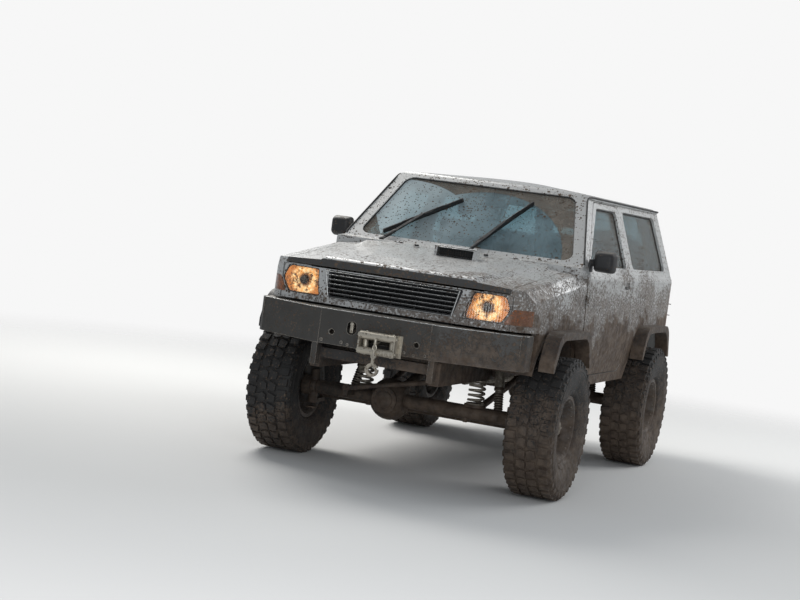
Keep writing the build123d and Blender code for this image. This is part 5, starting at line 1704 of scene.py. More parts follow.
def blown_up(name, outline, x0, x1, voxel, cap):
    """A pad: a remeshed slab, blown up as cloth under pressure and held within a cap."""
    bm = bmesh.new()
    put_slab(bm, outline, x0, x1, 0.022)
    pad = show(name, mesh_from(bm, name))
    remesh = pad.modifiers.new("Remesh", "REMESH")
    remesh.mode = "VOXEL"
    remesh.voxel_size = voxel
    baked(pad)
    smooth_mesh(pad, 8)
    before = [vert.co.copy() for vert in pad.data.vertices]
    cloth = pad.modifiers.new("Cloth", "CLOTH")
    cloth.settings.use_pressure = True
    cloth.settings.uniform_pressure_force = PRESSURE
    cloth.settings.effector_weights.gravity = 0.0
    for step in range(1, CLOTH_FRAMES + 1):
        bpy.context.scene.frame_set(step)
    baked(pad)
    bpy.context.scene.frame_set(1)
    for vert, start in zip(pad.data.vertices, before):
        move = vert.co - start
        if move.length > cap:
            vert.co = start + move.normalized() * cap
    return pad


def sewn(pad, place, lines, depth, width):
    """Pulls a pad's face in along sewn lines of (axis, value), measured in a frame that faces out of it."""
    back = place.inverted()
    outward = outward_of(place)
    normals = [vert.normal.copy() for vert in pad.data.vertices]
    for vert, normal in zip(pad.data.vertices, normals):
        facing = normal.dot(outward)
        if facing < 0.25:
            continue
        local = back @ vert.co
        pull = max(math.exp(-((local[axis] - value) / width) ** 2) for axis, value in lines)
        vert.co -= outward * depth * pull * min(1.0, facing * 1.4)
    pad.data.update()


PIPING_CORNER = 0.030


def piping(bm, pad, place, x0, x1, y0, y1, radius=0.0035):
    """A sewn cord round a pad's face, laid on its surface."""
    corner = PIPING_CORNER
    path = []
    for x, y, start in ((x1 - corner, y1 - corner, 0), (x0 + corner, y1 - corner, 90),
                        (x0 + corner, y0 + corner, 180), (x1 - corner, y0 + corner, 270)):
        for turn in range(4):
            angle = math.radians(start + turn * 30)
            path.append((x + corner * math.cos(angle), y + corner * math.sin(angle)))
    points = []
    for spot in spread([Vector((x, y, 0.0)) for x, y in path], 0.04):
        near, normal = pad.closest_point_on_mesh(place @ Vector((spot.x, spot.y, 0.02)))[1:3]
        points.append(near + normal * radius * 0.4)
    put_tube(bm, points, radius, 2, True)


def moved_copy(thing, name, shift):
    """A copy of an object with its own mesh, shifted in the mesh itself."""
    mesh = thing.data.copy()
    mesh.transform(Matrix.Translation(shift))
    return show(name, mesh)


def dressed(pad, material, replaces=()):
    """Finishes a pad: cloth, one subdivision and its body, hiding the nodes that it replaces."""
    pad.data.materials.clear()
    pad.data.materials.append(material)
    pad.data.polygons.foreach_set("use_smooth", [True] * len(pad.data.polygons))
    soften(pad, 1)
    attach(pad, "body")
    if replaces:
        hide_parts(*replaces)


def add_bench(cords, swell):
    """The rear bench's two pads."""
    lying = leaning(at(0, 2.100, 0.728), (1, 0, 0), (0, 0.07, 1))
    standing = leaning(at(0, 2.480, 0.720), (-1, 0, 0), (0, -0.978, 0.210))
    seams = [(0, -0.185), (0, 0.185), (0, -0.330), (0, 0.330)]
    cushion = blown_up("bench_cushion", BENCH_CUSHION, -0.545, 0.545, 0.018, swell)
    sewn(cushion, lying, seams + [(1, 0.12), (1, 0.22)], 0.012, 0.011)
    back = blown_up("bench_back", BENCH_BACK, -0.545, 0.545, 0.018, swell)
    sewn(back, standing, seams + [(1, 0.12), (1, 0.24), (1, 0.36)], 0.012, 0.011)
    piping(cords, cushion, lying, -0.525, 0.525, 0.022, 0.345)
    piping(cords, back, standing, -0.525, 0.525, 0.022, 0.445)
    dressed(cushion, seat_cloth(), ("rear_bench",))
    dressed(back, seat_cloth())


def add_seat_frame(metal, shell, x):
    """A front seat's runners, legs, shells, hinges, headrest posts and levers."""
    low = CABIN_FLOOR
    for side in (-1, 1):
        rail = x + side * 0.190
        put_block(metal, (rail - 0.017, rail + 0.017), (1.070, 1.490), (low + 0.022, low + 0.036), 0.002)
        put_block(metal, (rail - 0.011, rail + 0.011), (1.050, 1.510), (low + 0.036, low + 0.056), 0.002)
        for station in (1.085, 1.470):
            put_block(metal, (rail - 0.022, rail + 0.022), (station - 0.018, station + 0.018),
                      (low, low + 0.024), 0.003)
            put_bolt(metal, at(rail, station, low + 0.036), (0, 0, 1), 0.007)
        leg = [(rail, 1.110, low + 0.050), (rail, 1.130, low + 0.150), (rail, 1.440, low + 0.140),
               (rail, 1.460, low + 0.050)]
        put_tube(metal, [at(*point) for point in leg], 0.011, 3)
        put_block(shell, (x + side * 0.222, x + side * 0.240), (1.040, 1.540), (low + 0.120, low + 0.215),
                  0.007)
        hinge = at(x + side * 0.236, 1.500, low + 0.240)
        put_peg(shell, hinge, (side * 0.014, 0, 0), 0.045, 32, 0.040, 0.003)
        post = at(x + side * 0.060, 1.652, 1.185)
        put_peg(metal, post, (0, 0.018, 0.085), 0.0055, 16)
        put_rod(shell, post + Vector((0, 0.005, 0.028)), post + Vector((0, 0.009, 0.048)), 0.012, 20,
                bevel=0.002)
    for station, height in ((1.130, low + 0.150), (1.440, low + 0.140)):
        put_rod(metal, at(x - 0.190, station, height), at(x + 0.190, station, height), 0.010, 20)
    put_slab(shell, ((1.552, 0.700), (1.568, 0.700), (1.700, 1.180), (1.686, 1.186)), x - 0.200,
             x + 0.200, 0.004)
    put_tube(metal, [at(x - 0.15, 1.075, low + 0.070), at(x - 0.15, 1.028, low + 0.078),
                     at(x + 0.15, 1.028, low + 0.078), at(x + 0.15, 1.075, low + 0.070)], 0.006, 3)
    lever = at(x + (0.252 if x > 0 else -0.252), 1.500, low + 0.240)
    put_tube(shell, [lever, lever + Vector((0, -0.05, 0.012)), lever + Vector((0, -0.11, 0.020))], 0.009,
             4)


def add_bench_frame(metal, shell):
    """The bench's box, back panel, feet and side plates."""
    low = CABIN_FLOOR
    put_block(shell, (-0.530, 0.530), (2.115, 2.500), (low + 0.030, low + 0.185), 0.014)
    put_slab(shell, ((2.560, 0.640), (2.578, 0.640), (2.684, 1.168), (2.664, 1.172)), -0.535, 0.535, 0.005)
    for x in (-0.42, 0.0, 0.42):
        put_block(metal, (x - 0.020, x + 0.020), (2.135, 2.175), (low, low + 0.034), 0.003)
        put_block(metal, (x - 0.020, x + 0.020), (2.450, 2.490), (low, low + 0.034), 0.003)
    for side in (-1, 1):
        put_slab(metal, ((2.500, low + 0.020), (2.560, low + 0.020), (2.610, 0.900), (2.575, 0.905)),
                 side * 0.548, side * 0.554, 0.0015)
        put_bolt(metal, at(side * 0.554, 2.540, low + 0.100), (side, 0, 0), 0.010)


def add_frames():
    """What carries the pads."""
    metal = bmesh.new()
    shell = bmesh.new()
    for x in (SEAT_X, -SEAT_X):
        add_seat_frame(metal, shell, x)
    add_bench_frame(metal, shell)
    piece("cushion_frames", metal, chassis_paint(), 35.0)
    piece("cushion_shells", shell, inside_plastic())


class VEHICLE_OT_seats(bpy.types.Operator):
    """Adds the padded seats and bench with seams, frames, runners and headrest posts."""
    bl_idname = "vehicle.seats"
    bl_label = "Seats and bench"

    def execute(self, context):
        swell = chosen("vehicle_seat").swell
        x0, x1 = SEAT_X - 0.238, SEAT_X + 0.238
        lying = leaning(at(SEAT_X, 1.030, 0.712), (1, 0, 0), (0, 0.06, 1))
        standing = leaning(at(SEAT_X, 1.486, 0.740), (-1, 0, 0), (0, -0.962, 0.272))
        cushion = blown_up("front_cushion_left", CUSHION, x0, x1, 0.013, swell)
        sewn(cushion, lying, [(0, -0.150), (0, 0.150)] + [(1, 0.11 + 0.085 * i) for i in range(4)], 0.012,
             0.009)
        back = blown_up("front_back_left", SEAT_BACK, x0 + 0.008, x1 - 0.008, 0.013, swell)
        sewn(back, standing, [(0, -0.140), (0, 0.140)] + [(1, 0.09 + 0.085 * i) for i in range(4)], 0.012,
             0.009)
        rest = blown_up("headrest_left", HEADREST, SEAT_X - 0.118, SEAT_X + 0.118, 0.010, swell * 0.7)
        cords = bmesh.new()
        piping(cords, cushion, lying, -0.215, 0.215, 0.020, 0.430)
        piping(cords, back, standing, -0.205, 0.205, 0.020, 0.450)
        shift = Vector((-2 * SEAT_X, 0, 0))
        put_part(cords, cords.copy(), Matrix.Translation(shift))
        for pad, name, fill in ((cushion, "front_cushion_right", 0.8), (back, "front_back_right", 0.8),
                                (rest, "headrest_right", 0.9)):
            dressed(moved_copy(pad, name, shift), seat_cloth())
        dressed(cushion, seat_cloth(), ("front_seats",))
        dressed(back, seat_cloth())
        dressed(rest, seat_cloth())
        add_bench(cords, swell)
        piece("cushion_seams", cords, seat_vinyl(), 50.0)
        add_frames()
        return {"FINISHED"}


def add_vent(bm, place, x, y, wide, tall):
    """An air vent with slats."""
    edge = 0.006
    outer = rectangle(x - wide / 2, x + wide / 2, y - tall / 2, y + tall / 2)
    put_plate(bm, place, outer, 0.006, 0.004, 0.0015)
    for row in range(5):
        z = y - tall / 2 + edge + (row + 0.5) * (tall - 2 * edge) / 5
        put_bar(bm, place, (x - wide / 2 + edge, z), (x + wide / 2 - edge, z), 0.0022, 0.003, 0.009, 0.0004)
    put_bar(bm, place, (x, y - tall / 2 + edge), (x, y + tall / 2 - edge), 0.006, 0.008, 0.012, 0.001)


def add_stack(dark, light):
    """Vents, radio, buttons and knobs in the dashboard's middle."""
    stack = leaning(at(0, 0.670, 0.590), (-1, 0, 0), (0, 0.985, -0.175))
    for x in (-0.062, 0.062):
        add_vent(dark, stack, x, 0.232, 0.104, 0.050)
    put_plate(dark, stack, rectangle(-0.092, 0.092, 0.138, 0.192), 0.004, 0.010, 0.0015)
    put_bar(light, stack, (-0.052, 0.172), (0.052, 0.172), 0.012, 0.010, 0.0115, 0.0005)
    for x in (-0.072, 0.072):
        put_lathe(light, [(0.0, 0.011), (0.014, 0.011), (0.016, 0.009), (0.016, 0.0)],
                  stack @ Vector((x, 0.165, 0.010)), outward_of(stack), 28, False)
    for i in range(6):
        x = -0.050 + i * 0.020
        put_bar(dark, stack, (x - 0.007, 0.150), (x + 0.007, 0.150), 0.008, 0.010, 0.014, 0.001)
    for x in (-0.075, 0.0, 0.075):
        put_lathe(dark, [(0.0, 0.016), (0.012, 0.016), (0.022, 0.004), (0.024, 0.0), (0.0, 0.0)],
                  stack @ Vector((x, 0.085, 0.002)), outward_of(stack), 28, False)
        put_bar(light, stack, (x, 0.083), (x, 0.100), 0.004, 0.017, 0.0195, 0.0005)
    for x in (-0.085, -0.030, 0.030, 0.085):
        put_bar(dark, stack, (x - 0.015, 0.035), (x + 0.015, 0.035), 0.018, 0.0, 0.007, 0.002)


def add_dials(dark, light):
    """Dials with ticks and needles behind the steering wheel."""
    cluster = leaning(at(WHEEL_X, 0.6605, 0.934), (-1, 0, 0), (0, 1, 0))
    put_plate(dark, cluster, rectangle(-0.148, 0.148, -0.034, 0.034), 0.012, 0.004, 0.001)
    for x, radius in ((-0.058, 0.031), (0.058, 0.031), (-0.118, 0.017), (0.118, 0.017), (0.0, 0.016)):
        centre = cluster @ Vector((x, 0.0, 0.004))
        outward = outward_of(cluster)
        put_loop(light, centre + outward * 0.001, outward, radius, 0.0014, 32)
        for tick in range(13):
            angle = math.radians(210 - tick * 20)
            spoke = Vector((math.cos(angle), math.sin(angle)))
            start = Vector((x, 0.0)) + spoke * radius * 0.76
            put_bar(light, cluster, start, Vector((x, 0.0)) + spoke * radius * 0.92, 0.0012, 0.004, 0.0048)
        put_bar(light, cluster, (x, 0.0), (x - radius * 0.55, -radius * 0.35), 0.0016, 0.0052, 0.0064)
        put_rod(dark, centre, centre + outward * 0.005, 0.0045, 16)


def add_dash():
    """The dashboard's vents, glove box, grab handle and marks."""
    dark = bmesh.new()
    light = bmesh.new()
    upper = leaning(at(0, 0.640, 0.600), (-1, 0, 0), (0, 0.962, -0.272))
    for x in (-0.690, 0.690):
        add_vent(dark, leaning(at(0, 0.698, 0.840), (-1, 0, 0), (0, 1, 0)), x, 0.0, 0.105, 0.062)
    add_stack(dark, light)
    seam = leaning(at(0, 0.690, 0.700), (-1, 0, 0), (0, 0.962, -0.272))
    for y in (0.0, 0.115):
        put_bar(dark, seam, (-0.620, y - 0.02), (-0.200, y - 0.02), 0.003, -0.030, 0.0015)
    put_bar(dark, seam, (-0.445, 0.070), (-0.375, 0.070), 0.022, -0.030, 0.010, 0.003)
    grab = [at(0.25, 0.690, 0.925), at(0.26, 0.728, 0.935), at(0.50, 0.728, 0.935), at(0.51, 0.690, 0.925)]
    put_tube(dark, grab, 0.011, 4)
    add_dials(dark, light)
    put_bar(dark, upper, (0.300, 0.090), (0.440, 0.090), 0.060, 0.055, 0.062, 0.004)
    piece("dash_fittings", dark, inside_plastic())
    piece("dash_marks", light, bright_trim_and_highlight())


def add_pedals(bm, bright):
    """Ribbed pads on bent arms."""
    for x, wide in ((WHEEL_X + 0.115, 0.060), (WHEEL_X + 0.010, 0.070), (WHEEL_X - 0.105, 0.048)):
        arm = [at(x, 0.480, 0.660), at(x, 0.560, 0.580), at(x, 0.610, 0.520)]
        put_tube(bright, arm, 0.007, 3)
        pad = leaning(at(x, 0.612, 0.522), (-1, 0, 0), (0, 0.85, 0.53))
        put_bar(bm, pad, (-wide / 2, 0.0), (wide / 2, 0.0), 0.056, 0.0, 0.012, 0.004)
        for rib in range(4):
            y = -0.018 + rib * 0.012
            put_bar(bm, pad, (-wide / 2 + 0.006, y), (wide / 2 - 0.006, y), 0.004, 0.011, 0.0145, 0.0008)


def add_controls():
    """Gear and transfer levers in their boots, the handbrake and the pedals."""
    bm = bmesh.new()
    bright = bmesh.new()
    low = CABIN_FLOOR
    for x, station, top, lean in ((0.0, 0.900, 0.760, 0.05), (-0.075, 1.010, 0.640, 0.03)):
        for ring in range(5):
            put_lathe(bm, [(0.0, 0.020), (0.052 - ring * 0.008, 0.016), (0.056 - ring * 0.008, 0.0),
                           (0.0, 0.0)], at(x, station, low + ring * 0.015), (0, 0, 1), 28, False)
        put_tube(bright, [at(x, station, low + 0.06), at(x, station + lean, (low + top) / 2),
                          at(x, station + lean, top)], 0.0065, 3)
        put_lathe(bm, [(0.0, 0.046), (0.014, 0.043), (0.023, 0.028), (0.020, 0.010), (0.010, 0.0),
                       (0.0, 0.0)], at(x, station + lean, top), (0, 0, 1), 32, False)
    put_block(bm, (-0.085, 0.085), (0.760, 1.090), (low, low + 0.012), 0.005)
    brake = [at(0.050, 1.330, low + 0.070), at(0.050, 1.200, low + 0.130), at(0.050, 1.080, low + 0.185)]
    put_block(bm, (0.015, 0.085), (1.200, 1.420), (low, low + 0.090), 0.015)
    put_tube(bm, brake, 0.011, 4)
    put_peg(bm, brake[2], (0, -0.095, 0.042), 0.016, 24, 0.015, 0.004)
    add_pedals(bm, bright)
    piece("levers_and_pedals", bm, seal_rubber())
    piece("lever_rods", bright, galvanised())


def add_wheel():
    """The steering wheel's boss and spokes, the stalks and the key."""
    turned = leaning(at(WHEEL_X, 0.905, BELT - 0.062), (-1, 0, 0),
                     (0, math.cos(math.radians(24)), math.sin(math.radians(24))))
    bm = bmesh.new()
    hub = [(0.0, 0.034), (0.040, 0.032), (0.060, 0.024), (0.066, 0.010), (0.060, -0.008), (0.0, -0.008)]
    outward = outward_of(turned)
    put_lathe(bm, hub, turned.translation, outward, 40, False)
    put_loop(bm, turned.translation + outward * 0.030, outward, 0.034, 0.0022, 32)
    for turn in (90, 210, 330):
        angle = math.radians(turn)
        spoke = Vector((math.cos(angle), math.sin(angle)))
        put_bar(bm, turned, spoke * 0.050, spoke * 0.172, 0.034, -0.004, 0.010, 0.004)
    piece("steering_boss", bm, inside_plastic(), body="steering_wheel")
    stalks = bmesh.new()
    for side in (-1, 1):
        root = turned @ Vector((side * 0.050, 0.008, -0.075))
        tip = turned @ Vector((side * 0.170, 0.034, -0.045))
        put_rod(stalks, root, tip, 0.007, 16, 0.0055)
        put_rod(stalks, root.lerp(tip, 0.72), tip, 0.0095, 20, 0.009, 0.002)
    key = turned @ Vector((0.055, -0.050, -0.070))
    put_rod(stalks, key, key + outward * 0.014, 0.016, 24, 0.014, 0.002)
    piece("column_stalks", stalks, inside_plastic())


def add_floor_mats():
    """Ribbed mats."""
    bm = bmesh.new()
    low = CABIN_FLOOR
    for x0, x1, front, rear in ((0.130, 0.620, 0.560, 1.000), (-0.620, -0.130, 0.560, 1.000),
                                (0.120, 0.620, 1.600, 2.050), (-0.620, -0.120, 1.600, 2.050),
                                (-0.520, 0.520, 2.720, 3.040)):
        put_block(bm, (x0, x1), (front, rear), (low, low + 0.006), 0.002)
        count = round((x1 - x0) / 0.034)
        for rib in range(1, count):
            x = x0 + rib * (x1 - x0) / count
            put_block(bm, (x - 0.004, x + 0.004), (front + 0.025, rear - 0.025), (low + 0.005, low + 0.0095),
                      0.001)
    piece("floor_mats", bm, floor_rubber())


def add_roof_lining():
    """The headlining over the cabin."""
    bm = bmesh.new()
    rows = ((-0.600, 1.425), (-0.560, 1.444), (-0.300, 1.468), (0.0, 1.474), (0.300, 1.468), (0.560, 1.444),
            (0.600, 1.425))
    stations = (0.990, 1.045, 1.500, 2.000, 2.500, 2.900, 2.960)
    drops = (0.020, 0.004, 0.0, 0.0, 0.002, 0.012, 0.028)
    grid = [[bm.verts.new(at(x, station, z - drop)) for x, z in rows]
            for station, drop in zip(stations, drops)]
    for near, far in zip(grid, grid[1:]):
        for i in range(len(rows) - 1):
            bm.faces.new((near[i], near[i + 1], far[i + 1], far[i]))
    bmesh.ops.recalc_face_normals(bm, faces=bm.faces)
    bmesh.ops.solidify(bm, geom=bm.faces[:], thickness=0.004)
    piece("headlining", bm, headlining(), levels=1)


def add_roof_fittings():
    """Sun visors, grab handles, the roof lamp and the inner mirror."""
    bits = bmesh.new()
    dark = bmesh.new()
    for side in (-1, 1):
        visor = leaning(at(side * 0.330, 1.005, 1.405), (1, 0, 0), (0, 0.42, -0.91))
        put_plate(bits, visor, rectangle(-0.225, 0.225, -0.010, 0.125), 0.030, 0.012, 0.004)
        put_rod(dark, at(side * 0.545, 0.992, 1.418), at(side * 0.110, 0.992, 1.418), 0.0045, 16)
        for station in (1.320, 1.900):
            grip = [at(side * 0.600, station, 1.398), at(side * 0.568, station + 0.012, 1.372),
                    at(side * 0.568, station + 0.168, 1.372), at(side * 0.600, station + 0.180, 1.398)]
            put_tube(dark, grip, 0.009, 4)
    lamp = at(0.0, 1.420, 1.466)
    put_box(bits, lamp - Vector((0.055, 0.035, 0.012)), lamp + Vector((0.055, 0.035, 0.006)), 0.006)
    put_tube(dark, [at(0, 0.985, 1.420), at(0, 0.990, 1.385), at(0, 0.978, 1.350)], 0.006, 3)
    mirror = leaning(at(0, 0.972, 1.350), (-1, 0, 0), (0, 0.97, -0.24))
    put_plate(dark, mirror, rectangle(-0.118, 0.118, -0.030, 0.030), 0.024, 0.018, 0.004)
    silver = bmesh.new()
    put_plate(silver, mirror @ Matrix.Translation((0, 0, 0.0182)), rectangle(-0.112, 0.112, -0.025, 0.025),
              0.020, 0.0012)
    piece("sun_visors", bits, headlining())
    piece("roof_fittings", dark, inside_plastic())
    piece("inner_mirror", silver, mirror_silver())


def add_belts():
    """Shoulder belts with anchors, reels and buckles."""
    web = bmesh.new()
    bits = bmesh.new()
    for side in (-1, 1):
        high = at(side * 0.694, 1.800, 1.260)
        run = [high, at(side * 0.720, 1.795, 1.150), at(side * 0.762, 1.790, 0.900),
               at(side * 0.780, 1.790, 0.560)]
        for start, end in zip(run, run[1:]):
            centre = (start + end) / 2
            along = (end - start).normalized()
            turn = Matrix.Translation(centre) @ along.to_track_quat("Z", "Y").to_matrix().to_4x4()
            length = (end - start).length / 2 + 0.002
            put_bar(web, turn @ Matrix.Rotation(math.pi / 2, 4, "Y"), (-length, 0.0), (length, 0.0), 0.046,
                    -0.0008, 0.0008)
        put_plate(bits, facing_side(side * 0.7045), rectangle(1.772, 1.828, 1.236, 1.292), 0.012,
                  -side * 0.012, 0.003)
        put_bolt(bits, high + Vector((-side * 0.002, 0, 0.012)), (-side, 0, 0), 0.010)
        put_block(bits, (side * 0.770, side * 0.812), (1.750, 1.830), (0.470, 0.580), 0.008)
        buckle = at(side * 0.075, 1.430, 0.700)
        put_tube(bits, [at(side * 0.100, 1.450, 0.500), at(side * 0.085, 1.445, 0.600), buckle], 0.006, 3)
        put_box(bits, buckle - Vector((0.012, 0.024, 0.030)), buckle + Vector((0.012, 0.024, 0.045)), 0.005)
    piece("shoulder_belts", web, belt_web())
    piece("belt_fittings", bits, inside_plastic())


CARD_X = 0.8235


def add_door_card(name, side):
    """A side door's inner panel with its pulls."""
    bm = bmesh.new()
    face = facing_side(side * CARD_X)
    card = ((DOOR_FRONT + 0.060, 0.530), (DOOR_REAR - 0.060, 0.530), (DOOR_REAR - 0.060, 0.880),
            (DOOR_FRONT + 0.060, 0.880))
    put_plate(bm, face, card, 0.040, -side * 0.016, 0.004)
    inner = facing_side(side * 0.8075)
    put_plate(bm, inner, rectangle(0.900, 1.400, 0.700, 0.745), 0.018, -side * 0.052, 0.010)
    put_plate(bm, inner, rectangle(0.640, 1.250, 0.545, 0.625), 0.020, -side * 0.030, 0.008)
    for x in (0.560, 1.560):
        put_lathe(bm, [(0.0, 0.006), (0.070, 0.004), (0.074, 0.0)], at(side * 0.8075, x, 0.610),
                  (-side, 0, 0), 36, False)
    put_bar(bm, inner, (0.560, 0.828), (1.640, 0.828), 0.006, -0.004, 0.004, 0.001)
    bright = bmesh.new()
    pull = at(side * 0.806, 0.690, 0.790)
    put_block(bright, (side * 0.790, side * 0.808), (0.640, 0.760), (0.765, 0.812), 0.006)
    put_rod(bright, pull + Vector((-side * 0.014, -0.025, 0)), pull + Vector((-side * 0.018, 0.050, 0)),
            0.006, 16)
    wind = at(side * 0.806, 0.950, 0.665)
    put_peg(bright, wind, (-side * 0.020, 0, 0), 0.016, 24, 0.013, 0.002)
    put_tube(bright, [wind - Vector((side * 0.018, 0, 0)), wind + Vector((-side * 0.024, 0.060, 0.020)),
                      wind + Vector((-side * 0.024, 0.105, 0.020))], 0.006, 3)
    put_rod(bright, wind + Vector((-side * 0.022, 0.100, 0.020)),
            wind + Vector((-side * 0.052, 0.100, 0.020)), 0.011, 20, 0.012, 0.003)
    piece(f"door_card_{name}", bm, inside_plastic(), body=f"door_{name}")
    piece(f"door_pulls_{name}", bright, bright_trim_and_highlight(), body=f"door_{name}")


REAR_CARD = 3.0815


def add_rear_trim():
    """Inner panels beside and on the rear doors."""
    bm = bmesh.new()
    for side in (-1, 1):
        face = facing_side(side * CARD_X)
        put_plate(bm, face, rectangle(1.780, 2.960, 0.600, 0.880), 0.040, -side * 0.014, 0.004)
        put_plate(bm, facing_side(side * 0.8095), rectangle(1.860, 2.060, 0.680, 0.730), 0.018, -side * 0.030,
                  0.008)
    for node, x0, x1 in (("rear_door_large", -0.160, 0.690), ("rear_door_small", -0.690, -0.280)):
        card = bmesh.new()
        put_plate(card, facing_front(REAR_CARD), rectangle(x0, x1, 0.500, 0.900), 0.035, 0.012, 0.004)
        put_plate(card, facing_front(REAR_CARD - 0.0120),
                  rectangle((x0 + x1) / 2 - 0.07, (x0 + x1) / 2 + 0.07, 0.740, 0.780), 0.014, 0.022, 0.006)
        piece(f"{node}_card", card, inside_plastic(), body=node)
    piece("quarter_trim", bm, inside_plastic())


class VEHICLE_OT_cabin(bpy.types.Operator):
    """Adds the dashboard's fittings, levers, pedals, mats, visors, mirror, belts and headlining."""
    bl_idname = "vehicle.cabin"
    bl_label = "Cabin fittings"

    def execute(self, context):
        add_dash()
        add_controls()
        add_wheel()
        add_floor_mats()
        add_roof_lining()
        add_roof_fittings()
        add_belts()
        for name, side in SIDES:
            add_door_card(name, side)
        add_rear_trim()
        return {"FINISHED"}


def add_radiator():
    """The radiator's core, tanks and brackets."""
    core = bmesh.new()
    put_block(core, (-0.320, 0.320), (-0.560, -0.525), (0.390, 0.740), 0.003)
    for row in range(26):
        z = 0.400 + row * 0.0128
        put_block(core, (-0.318, 0.318), (-0.566, -0.558), (z, z + 0.0035), 0.0008)
    for low, high in ((0.350, 0.394), (0.736, 0.782)):
        put_block(core, (-0.335, 0.335), (-0.572, -0.512), (low, high), 0.010)
    put_rod(core, at(0.180, -0.545, 0.775), at(0.180, -0.545, 0.800), 0.026, 28, 0.024, 0.003)
    for side in (-1, 1):
        put_block(core, (side * 0.335, side * 0.455), (-0.556, -0.536), (0.350, 0.378), 0.003)
        put_block(core, (side * 0.322, side * 0.342), (-0.562, -0.522), (0.352, 0.778), 0.003)
    piece("radiator", core, gloss_trim(), 35.0)


def add_engine_top():
    """The engine's cover, inlet pipes and air cleaner."""
    bm = bmesh.new()
    put_block(bm, (-0.085, 0.085), (-0.290, 0.240), (0.776, 0.832), 0.016)
    for rib in range(7):
        station = -0.250 + rib * 0.075
        put_block(bm, (-0.070, 0.070), (station - 0.004, station + 0.004), (0.828, 0.837), 0.002)
    for side in (-1, 1):
        for bolt in range(6):
            put_bolt(bm, at(side * 0.094, -0.260 + bolt * 0.095, 0.779), (0, 0, 1), 0.007)
    put_rod(bm, at(0.030, -0.150, 0.828), at(0.030, -0.150, 0.850), 0.026, 28, 0.024, 0.003)
    for runner in range(4):
        station = -0.220 + runner * 0.130
        put_tube(bm, [at(0.085, station, 0.800), at(0.150, station, 0.815), at(0.195, station, 0.775)], 0.019,
                 4)
    put_lathe(bm, [(0.0, 0.056), (0.075, 0.056), (0.086, 0.050), (0.086, 0.0), (0.0, 0.0)],
              at(-0.160, -0.180, 0.778), (0, 0, 1), 48, False)
    put_tube(bm, [at(-0.160, -0.264, 0.800), at(-0.140, -0.360, 0.800), at(-0.050, -0.470, 0.770),
                  at(0.0, -0.515, 0.755)], 0.022, 5)
    piece("engine_top", bm, castings(), 35.0)


def add_plate():
    """A blank plate on the rear bumper under a small lamp."""
    plate = bmesh.new()
    put_plate(plate, facing_front(3.2745), rectangle(-0.240, 0.240, 0.212, 0.318), 0.008, -0.004, 0.001)
    piece("rear_plate", plate, bright_trim_and_highlight())
    lamp = bmesh.new()
    put_block(lamp, (-0.045, 0.045), (3.235, 3.275), (0.334, 0.352), 0.005)
    piece("plate_lamp", lamp, dark_plastic())


def add_mounts(metal, rubber):
    """Rubber body mounts on their brackets."""
    for side in (-1, 1):
        for station in (0.420, 1.050, 1.700, 2.080, 2.900):
            mount = at(side * 0.415, station, 0.352)
            put_peg(rubber, mount, (0, 0, 0.032), 0.030, 28, bevel=0.005)
            put_block(metal, (side * 0.385, side * 0.460), (station - 0.032, station + 0.032),
                      (0.335, 0.353), 0.004)
            put_bolt(metal, at(side * 0.440, station, 0.335), (0, 0, -1), 0.009)


def add_straps(metal):
    """Straps round the fuel tank."""
    for x in (-0.215, 0.105):
        for low, high, bottom, top in ((2.556, 2.924, 0.1252, 0.1285), (2.5565, 2.5605, 0.126, 0.345),
                                       (2.9195, 2.9235, 0.126, 0.345)):
            put_block(metal, (x - 0.018, x + 0.018), (low, high), (bottom, top), 0.001)
        put_bolt(metal, at(x, 2.5565, 0.300), (0, -1, 0), 0.008)


def add_hangers(metal, rubber):
    """Clamps on the exhaust, hung from rubber rings."""
    for station, x in ((1.080, 0.282), (1.930, 0.284), (2.480, 0.285), (3.030, 0.286)):
        centre = at(x, station, 0.172 - (station - 0.700) * 0.0056)
        put_pin(metal, centre, (0, 0.010, 0), 0.031, 28, bevel=0.003)
        put_block(metal, (x - 0.009, x + 0.009), (station - 0.008, station + 0.008), (0.195, 0.226),
                  0.002)
        put_bolt(metal, centre + Vector((0.012, 0.012, 0.036)), (0, 1, 0), 0.006)
        put_tube(rubber, [at(x, station, 0.205), at(x + 0.022, station, 0.240), at(x, station, 0.275),
                          at(x - 0.022, station, 0.240)], 0.007, 3, True)
        put_rod(metal, at(x, station, 0.270), at(x, station, 0.384), 0.005, 16)


class VEHICLE_OT_underbody(bpy.types.Operator):
    """Adds body mounts, tank straps, exhaust clamps and hangers, the radiator and the engine's top."""
    bl_idname = "vehicle.underbody"
    bl_label = "Underbody and engine bay"

    def execute(self, context):
        metal = bmesh.new()
        rubber = bmesh.new()
        add_mounts(metal, rubber)
        add_straps(metal)
        add_hangers(metal, rubber)
        piece("body_mounts", rubber, seal_rubber())
        piece("underbody_brackets", metal, chassis_paint(), 35.0)
        add_radiator()
        add_engine_top()
        add_plate()
        return {"FINISHED"}


class VEHICLE_OT_stage(bpy.types.Operator):
    """Sets the floor, the lamps, the world and the camera."""
    bl_idname = "vehicle.stage"
    bl_label = "Stage and camera"

    def execute(self, context):
        add_floor()
        add_world()
        add_lamps()
        add_camera()
        context.scene.view_settings.view_transform = "Standard"
        return {"FINISHED"}


FLOOR_RADIUS = 16.0
FLOOR_DEPTH = 0.002


